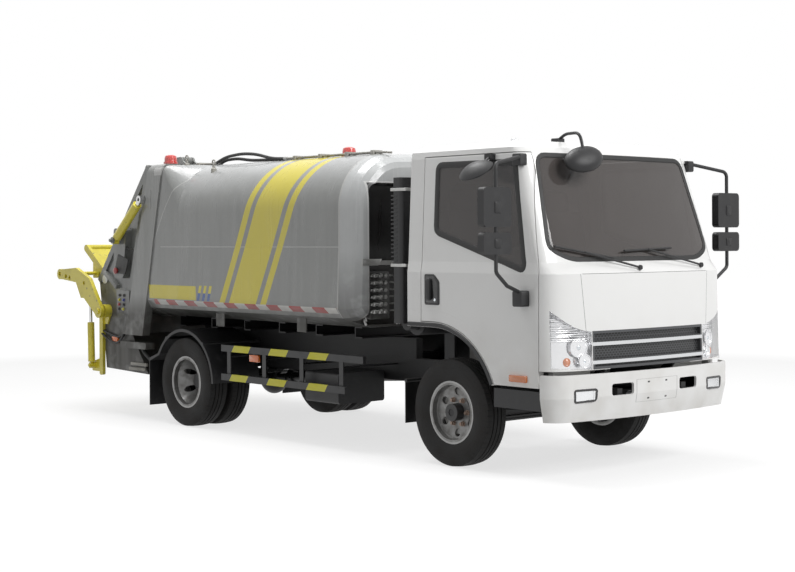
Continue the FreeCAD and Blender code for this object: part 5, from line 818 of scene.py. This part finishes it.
seat_cloth, pen = painted_material("seat_cloth")
weave = cloud(pen, 600, 2)
feed(pen, Base_Color=cloud(pen, 30).mix((0.1, 0.1, 0.11, 1), (0.15, 0.15, 0.16, 1)),
     Roughness=0.8 + cloud(pen, 40) * 0.1)
roughen(pen, weave + pen.math("SINE", axes(pen)[1] * 90) * 0.8, 0.002, 0.8)
dress(seat_cloth, "cab_seats")
for hand, side in hands:
    middle_y = 0.48 * side
    for part, middle_x, middle_z, size, lean, fill in (
            ("cushion", 0.075, 1.215, (0.5, 0.47, 0.13), -4, 0.8),
            ("back", -0.185, 1.54, (0.13, 0.45, 0.56), -8, 0.8),
            ("headrest", -0.262, 1.905, (0.1, 0.27, 0.17), -8, 0.9)):
        pillow(f"seat_{part}_{hand}", (middle_x, middle_y, middle_z), size, lean,
               seat_cloth)
    tube("headrest_post_" + hand, [(-0.245, middle_y, 1.79), (-0.255, middle_y, 1.87)], 0.008,
         0.01, mirror_glass, "cab")

# Dashboard. One grained moulding screwed to the cab's front wall, with gauges, a radio, a locker
# and four round vents let into it. The steering wheel is of the same plastic.
dash_plastic = even_coat("dash_plastic", (0.09, 0.09, 0.09, 1), 0.55, 0.15, 20, (500, 0.0006, 0.6))
dress(dash_plastic, "dashboard", "steering_wheel")
dash_face = 0.562
for y in (-0.66, -0.22, 0.22, 0.74):
    lathe(f"dash_vent_{y}", [(0.046, 0), (0.046, 0.006), (0.038, 0.008), (0.034, 0.003),
                             (0.012, 0.003), (0.008, 0.009)],
          (0.561, y, 1.335), (-1, 0, 0), black_plastic, "cab", 24)
plate("dash_gauges", "front", box_outline(0.32, 0.64, 1.33, 1.405), dash_face, 0.545, 0.03,
      0.006, gloss_black, "cab")
plate("dash_radio", "front", box_outline(-0.13, 0.13, 1.15, 1.27), dash_face, 0.55, 0.012,
      0.004, gloss_black, "cab")
plate("dash_locker", "front", box_outline(-0.6, -0.26, 1.12, 1.26), dash_face, 0.553, 0.02,
      0.004, dash_plastic, "cab")


# Container. Rolled steel sheet in two shells, joined by one long seam and welded to a square
# rear frame, in grey semi-gloss enamel with slanted yellow bands and reflecting tape. Tabs under
# it tie it to the frame.
def lengths(pen, x, period, start):
    """Where along a repeated pattern a place lies, from 0 to 1."""
    return pen.math("FRACT", (x - start) * (1 / period) + 40)


def grey_enamel(name, light, dark, marks, grime_and_shade_top=1.14):
    """A grey coat, streaked by rain from the roof down and darker below, under its marks."""
    material, pen = painted_material(name, Coat_Roughness=0.12)
    streak = cloud(pen, 3, 6, (6, 6, 0.5)).clamp(0.35, 0.8)
    mottle = cloud(pen, 22, 6).clamp(0.3, 0.9)
    # Darker toward the bottom: partly dirt, partly painted shade.
    grime_and_shade = axes(pen)[2].clamp(grime_and_shade_top, 0.95) * cloud(pen, 7, 6).clamp(0.15, 0.5)
    colour = (streak * 0.6 + mottle * 0.3).mix(light, dark)
    raised = cloud(pen, 5, 2) * 0.03
    for mask, paint, rise in marks(pen):
        colour = mask.mix(colour, paint)
        raised = raised + mask * rise
    feed(pen, Base_Color=(grime_and_shade * 0.85).mix(colour, (0.045, 0.042, 0.037, 1)),
         Roughness=0.26 + streak * 0.14 + grime_and_shade * 0.3,
         Coat_Weight=0.5 - streak * 0.2 - grime_and_shade * 0.3)
    roughen(pen, raised, 0.004, 0.5)
    return material


enamel_yellow = (0.62, 0.53, 0.035, 1)
tick_blue = (0.03, 0.09, 0.3, 1)
tape_red = (0.36, 0.018, 0.014, 1)
tape_white = (0.62, 0.61, 0.58, 1)
bead_light = (0.44, 0.44, 0.43, 1)
cap_joint = -1.107
tape_foot = 1.055
tape_head = 1.1


def body_marks(pen):
    """The container's marks from the first coat up, each a mask, its paint and its rise."""
    x, y, z = axes(pen)
    out = abs(y)
    side = out > 0.6
    low = out > 0.93
    # The weld beads and the long seam are painted pale, a painted highlight along them; they also
    # rise in the relief.
    t = (z - 1.086) * (1 / 1.075)
    bead = x - (t * t * 0.536 - t * 0.039 - 3.826)
    bead = (abs(bead) < 0.006) * (z > 0.98) * (out > 0.5)
    bead = bead * (cloud(pen, 55, 2) * 0.5 + 0.6).clamp(0, 1)
    cap_bead = between(x, cap_joint - 0.011, cap_joint) * (z > 0.96)
    seam = between(z, 1.5625, 1.5695) * low * between(x, -3.62, cap_joint)
    lean = x - (z - tape_head) * 0.45
    bands = sum(between(lean, *edges) for edges in ((-2.69, -2.61), (-2.55, -2.17),
                                                    (-2.11, -2.03)))
    bands = bands * between(z, tape_head, 2.294) * side
    tape = between(z, tape_foot, tape_head) * between(x, -3.726, -1.125) * low
    red = lengths(pen, x + z * 0.6, 0.3, -0.17) < 0.52
    low_band = between(z, 1.108, 1.229) * between(x + z * 0.1, -3.69, -2.93) * low
    tick_x = x - z * 0.25
    ticks = (lengths(pen, tick_x, 0.076, -3.306) < 0.5) * between(tick_x, -3.306, -3.09)
    ticks = ticks * between(z, 1.106, 1.235) * low
    upper = z > 1.17
    # Painted highlight: faces that look up are painted paler, as the light on the container's top.
    top_highlight = facing_up(pen) * cloud(pen, 2.5, 3, (0.6, 1, 1)).clamp(0.2, 0.75) * 0.75
    return [(top_highlight, (0.55, 0.56, 0.57, 1), 0), (seam, bead_light, 0.5),
            (bands, enamel_yellow, 0), (bead, bead_light, 1), (cap_bead, bead_light, 1),
            (low_band, enamel_yellow, 0), (ticks, upper.mix(tick_blue, enamel_yellow), 0),
            (tape, red.mix(tape_white, tape_red), 0.2)]


def plain_marks(pen):
    """Small chips through a coat to the dark primer."""
    edge = cloud(pen, 30, 4).clamp(0.72, 0.78)
    return [(edge, (0.1, 0.095, 0.09, 1), 0)]


def frame_marks(pen):
    x, y, z = axes(pen)
    top_plate = between(z, 2.2, 2.27) * between(x, -3.7, -3.55)
    return plain_marks(pen) + [(top_plate, bead_light, 0.3)]


body_grey = grey_enamel("body_grey", (0.25, 0.255, 0.248, 1), (0.2, 0.205, 0.198, 1), body_marks)
dress(body_grey, "body_barrel", "ejector")
for hand, side in hands:
    for row, tab_x in enumerate((-2.88, -1.74)):
        tab = box_outline(tab_x - 0.06, tab_x + 0.06, 0.885, 1.02)
        plate(f"body_tab_{hand}_{row}", "side", tab, 0.87 * side, 0.88 * side, 0.004, 0.002,
              body_grey, "root")
frame_grey = grey_enamel("frame_grey", (0.25, 0.255, 0.245, 1), (0.19, 0.195, 0.187, 1),
                         frame_marks)
dress(frame_grey, "body_rear_frame")


# Front cap. Pressed sheet with rolled corners in the container's grey, painted paler as painted
# light on its lit front, and darker low down as painted shade. Its two deep recesses are painted
# near black as painted shade, with a painted highlight round their rim, and hold the ejector's
# cylinder above and the hydraulic valves below.
def cap_marks(pen):
    x, y, z = axes(pen)
    out = abs(y)
    # Painted highlight on a band round the recesses' rim, and painted shade filling the recesses
    # with near black.
    recess_rim_highlight = (out < 0.897) * between(z, 0.95, 2.067)
    recess_shade = (out < 0.885) * between(z, 0.95, 2.055)
    # Painted highlight along the weld at the cap's joint.
    weld = between(x, cap_joint, cap_joint + 0.009) * (z > 0.96)
    return [(weld, bead_light, 1), (recess_rim_highlight, (0.62, 0.62, 0.61, 1), 0),
            (recess_shade, (0.006, 0.006, 0.0065, 1), 0)]


# Painted light: the container's paint, painted paler for the cap's lit front, with painted shade
# from 1.55 m down.
cap_grey = grey_enamel("cap_grey", (0.47, 0.48, 0.48, 1), (0.39, 0.4, 0.4, 1), cap_marks, 1.55)
dress(cap_grey, "body_front_cap")
bare_steel, pen = painted_material("bare_steel", Metallic=0.85)
feed(pen, Base_Color=cloud(pen, 40).mix((0.3, 0.3, 0.29, 1), (0.5, 0.5, 0.49, 1)),
     Roughness=0.3 + cloud(pen, 25) * 0.25)
shelf_edge = -0.888
for side in (-1, 1):
    plate(f"cap_shelf_{side}", "top", box_outline(-0.91, shelf_edge, 0.93 * side, 0.3 * side),
          1.428, 1.462, 0.004, 0.002, bare_steel, "root")
plate("cap_tab", "front", [(-0.96, 1.425), (-0.8, 1.425), (-0.76, 1.475), (-0.96, 1.475)],
      shelf_edge, -0.884, 0.006, 0.002, bare_steel, "root")

# Hydraulic valves. A cast block of six spool valves, bolted low in the cap's recess, with steel
# pipes bent from it to the rams.
recess_wall = -1.081
plate("valve_block", "front", box_outline(-0.8, -0.6, 1.01, 1.375), recess_wall, -0.985, 0.012,
      0.006, engine_grey, "root")
spool = [(0.012, 0), (0.019, 0.004), (0.019, 0.03), (0.013, 0.034), (0.013, 0.06), (0.017, 0.064),
         (0.017, 0.085), (0.012, 0.09), (0.012, 0.11), (0.006, 0.116)]
for row in range(6):
    height = 1.345 - row * 0.055
    lathe(f"valve_spool_{row}", spool, (-0.962, -0.7, height), (0, -1, 0), bare_steel, "root", 16)
    lathe(f"valve_cap_{row}", [(0.02, 0), (0.02, 0.02), (0.014, 0.028)], (-0.985, -0.66, height),
          (1, 0, 0), bare_steel, "root", 6)
    drop_x = -0.96 - row * 0.012
    drop_y = -0.55 + row * 0.035
    tube(f"valve_pipe_{row}", [(-1.03, -0.6, height), (-1.03, drop_y, height),
                               (drop_x, drop_y, height - 0.03), (drop_x, drop_y, 0.965)],
         0.007, 0.03, bare_steel, "root", 8)
for row, height in enumerate((1.03, 1.06)):
    tube(f"valve_feed_{row}", [(-1.02, -0.8, height), (-1, -0.855, height),
                               (-0.96, -0.86, height - 0.06)], 0.009, 0.03, bare_steel, "root", 8)

# Air intake. A blow-moulded black duct, ribbed on its rear half. Two steel clamps hold it upright
# behind the cab.
for row in range(17):
    height = 1.46 + row * 0.03
    plate(f"intake_rib_{row}", "top", box_outline(-0.627, -0.55, -0.899, -0.8), height,
          height + 0.012, 0.012, 0.003, black_plastic, "root")
for height in (1.42, 1.98):
    plate(f"intake_clamp_{height}", "top", box_outline(-0.632, -0.46, -0.9, -0.75), height,
          height + 0.022, 0.012, 0.003, bare_steel, "root")

# Roof fittings. A pair of painted pipes in clamps along the roof's edge, which two dark formed
# lines carry on in a low hump, screwed to them by unions. Four forged lifting eyes and two red
# marker lamps stand on the roof.
pale_pipe, pen = painted_material("pale_pipe")
feed(pen, Base_Color=cloud(pen, 9, 6).mix((0.42, 0.41, 0.37, 1), (0.2, 0.19, 0.17, 1)),
     Roughness=0.4 + cloud(pen, 30) * 0.2)
hose_rubber = even_coat("hose_rubber", (0.014, 0.014, 0.014, 1), 0.45, 0.2, 50, (700, 0.0003))
pipe_z = 2.303
humps = ([(-3.31, pipe_z), (-3.15, 2.354), (-2.95, 2.369), (-2.86, 2.369), (-2.7, 2.358),
          (-2.47, 2.31), (-2.31, pipe_z)],
         [(-3.31, pipe_z), (-3.22, 2.33), (-3.05, 2.338), (-2.85, 2.312), (-2.6, 2.306),
          (-2.45, 2.305), (-2.31, pipe_z)])
for row, pipe_y in enumerate((-0.62, -0.57)):
    tube(f"roof_pipe_rear_{row}", [(-3.66, pipe_y, pipe_z), (-3.3, pipe_y, pipe_z)], 0.009, 0.1,
         pale_pipe, "root")
    tube(f"roof_pipe_front_{row}", [(-2.32, pipe_y, pipe_z), (-1.2, pipe_y, pipe_z),
                                    (-1.08, pipe_y, 2.302), (-0.99, pipe_y, 2.296)], 0.009, 0.1,
         pale_pipe, "root")
    tube(f"roof_hump_{row}", [(x, pipe_y, z) for x, z in humps[row]], 0.0135, 0.15, hose_rubber,
         "root", 12)
    for end_x, turned in ((-3.36, 1), (-2.26, -1)):
        lathe(f"roof_union_{row}_{turned}", [(0.014, 0), (0.0155, 0.004), (0.0155, 0.03),
                                             (0.013, 0.036), (0.013, 0.07)],
              (end_x, pipe_y, pipe_z), (turned, 0, 0), bare_steel, "root", 6)
for row, middle_x in enumerate((-3.56, -2.14, -1.8, -1.46, -1.14)):
    clamp = box_outline(middle_x - 0.018, middle_x + 0.018, -0.645, -0.545)
    plate(f"roof_clamp_{row}", "top", clamp, 2.275, 2.319, 0.006, 0.003, pale_pipe, "root")
for row, eye in enumerate(((-3.5, -0.8, 2.355), (-3.08, -0.8, 2.298),
                           (-3.08, 0.8, 2.298), (-3.5, 0.8, 2.355))):
    lathe(f"roof_eye_foot_{row}", [(0.024, -0.1), (0.024, -0.055), (0.013, -0.045),
                                   (0.011, -0.018)], eye, (0, 0, 1), pale_pipe, "root", 14)
    eye_ring = [spot(*eye) + Vector((a, 0, b)) for a, b in circle(0.021, 20)]
    sweep(f"roof_eye_{row}", eye_ring, circle(0.006, 8), pale_pipe, "root",
          [Vector((0, 1, 0))] * 20, True)
red_lens = ribbed_lens("red_lens", (0.62, 0.05, 0.04, 1), 2, 700, 0.14, 0.001)
dress(red_lens, "roof_beacons")


# Tail. Flat plate in the container's grey, painted darker as painted shade, flanged at its edges
# and hinged to the container's roof. Its flanks carry the lifter's buttons, a work lamp, a marker,
# toe plates and a drain pipe, and rust has begun in the trough.
def tail_marks(pen):
    x, y, z = axes(pen)
    out = abs(y)
    inner = (out < 0.93) * (z < 1.3) * (z > 0.6)
    rust = inner * cloud(pen, 9, 6).clamp(0.35, 0.7)
    return plain_marks(pen) + [(rust * 0.8, (0.12, 0.07, 0.045, 1), 0)]


# Painted shade: the tail is in the container's grey, painted darker.
tail_grey = grey_enamel("tail_grey", (0.19, 0.195, 0.187, 1), (0.135, 0.14, 0.133, 1), tail_marks)
dress(tail_grey, "tail_side_right", "tail_side_left", "hopper", "tail_hood", "packer_slide",
      "sweep_blade")
clear_lens = even_coat("clear_lens", (0.75, 0.76, 0.74, 1), 0.15, 0.1, 90, Coat_Weight=1)
recess_dark = even_coat("recess_dark", (0.035, 0.036, 0.035, 1), 0.5, 0.2, 40)
tail_web = 0.93
button_colours = ((0.01, 0.01, 0.01, 1), (0.01, 0.01, 0.01, 1), (0.45, 0.4, 0.03, 1),
                  (0.01, 0.02, 0.2, 1), (0.3, 0.02, 0.02, 1))
buttons = [even_coat(f"button_{row}", colour, 0.25, 0.1, 120, Coat_Weight=0.5)
           for row, colour in enumerate(button_colours)]
for hand, side in hands:
    web = tail_web * side
    cover = [(-4.345, 1.5), (-4.165, 1.45), (-4.225, 1.31), (-4.41, 1.335)]
    plate(f"switch_cover_{hand}", "side", cover, 0.999 * side, 1.006 * side, 0.01, 0.003,
          recess_dark, "tail")
    lathe(f"stop_button_{hand}", [(0.024, 0), (0.024, 0.01), (0.03, 0.012), (0.03, 0.022),
                                  (0.02, 0.03), (0.006, 0.032)],
          (-4.371, 1.001 * side, 1.345), (0, side, 0), buttons[4], "tail", 20)
    for row in range(4):
        for column in range(2):
            lathe(f"panel_button_{hand}_{row}_{column}",
                  [(0.016, 0), (0.016, 0.004), (0.011, 0.006), (0.011, 0.014), (0.005, 0.016)],
                  (-4.325 + column * 0.075 - row * 0.004, 0.998 * side, 1.12 - row * 0.042),
                  (0, side, 0), buttons[(row * 2 + column) % 5], "tail", 16)
    strip = [(-4.69, 1.318), (-4.662, 1.345), (-4.44, 1.205), (-4.462, 1.175)]
    plate(f"flank_channel_{hand}", "side", strip, web, web + 0.035 * side, 0.004, 0.004,
          frame_grey, "tail")
    lathe(f"work_lamp_{hand}", [(0.034, 0), (0.04, 0.008), (0.045, 0.012), (0.045, 0.016),
                                (0.03, 0.02), (0.008, 0.022)],
          (-4.684, web, 1.264), (0, side, 0), clear_lens, "tail", 24)
    plate(f"rear_marker_{hand}", "side", box_outline(-4.555, -4.455, 0.665, 0.73), web,
          web + 0.022 * side, 0.008, 0.005, orange_lens, "tail")
    for row in range(2):
        toe = box_outline(-4.26 + row * 0.03, -3.985 + row * 0.03, 0.436 + row * 0.045,
                          0.464 + row * 0.045)
        plate(f"toe_plate_{hand}_{row}", "side", toe, web, web + 0.018 * side, 0.004, 0.003,
              pale_pipe, "tail")
    tube(f"drain_pipe_{hand}", [(-4.11, 0.9 * side, 0.66), (-4.06, 0.9 * side, 0.6),
                                (-3.95, 0.89 * side, 0.53), (-3.86, 0.88 * side, 0.515)],
         0.021, 0.08, recess_dark, "tail", 14)
    for row in range(5):
        rise = row * 0.16
        lathe(f"post_bolt_{hand}_{row}", [(0.013, 0), (0.013, 0.008), (0.009, 0.01)],
              (-3.99 + rise * 0.21, 0.984 * side, 1.28 + rise), (0, side, 0), bare_steel, "tail",
              6)

# Bin lifter. Flame-cut plate in yellow enamel, chipped at its edges and oily round its pins,
# swung on the tail by two rams. The tail's own rams and posts share the paint, and every rod is
# chromed steel.
lift_yellow, pen = painted_material("lift_yellow", Coat_Roughness=0.2)
worn = cloud(pen, 26, 8).clamp(0.64, 0.74)
oil = cloud(pen, 6, 6).clamp(0.5, 0.85)
feed(pen, Base_Color=worn.mix((oil * 0.5).mix((0.72, 0.62, 0.05, 1), (0.34, 0.28, 0.05, 1)),
                              (0.2, 0.17, 0.1, 1)),
     Roughness=0.32 + worn * 0.3, Coat_Weight=0.35 - oil * 0.2)
roughen(pen, cloud(pen, 70, 5), 0.0012)
dress(lift_yellow, "lift_posts", "tail_cylinders", "lift_arms", "lift_cylinders", "bin_frame")
rod_chrome = even_coat("rod_chrome", (0.62, 0.62, 0.62, 1), 0.12, 0.12, 60, Metallic=1)
dress(rod_chrome, "tail_rods", "lift_rods")

# Lines. Steel-braided rubber hoses with pressed fittings, which run in wide bends to the rams.
for hand, side in hands:
    for row, (low_z, start_z) in enumerate(((0.66, 0.925), (0.72, 0.95))):
        line_y = (0.955 - row * 0.012) * side
        points = [(-4.25 - row * 0.02, line_y, start_z), (-4.3, line_y, 0.8),
                  (-4.42, line_y, low_z), (-4.6, line_y, low_z + 0.03),
                  (-4.72, line_y, 0.75 + row * 0.03)]
        tube(f"lift_hose_{hand}_{row}", points, 0.011, 0.14, hose_rubber, "tail")
    tube(f"ram_hose_{hand}", [(-4.28, 0.975 * side, 1.6), (-4.22, 0.985 * side, 1.555),
                              (-4.14, 0.98 * side, 1.535), (-4.05, 0.96 * side, 1.525)],
         0.009, 0.05, hose_rubber, "tail")
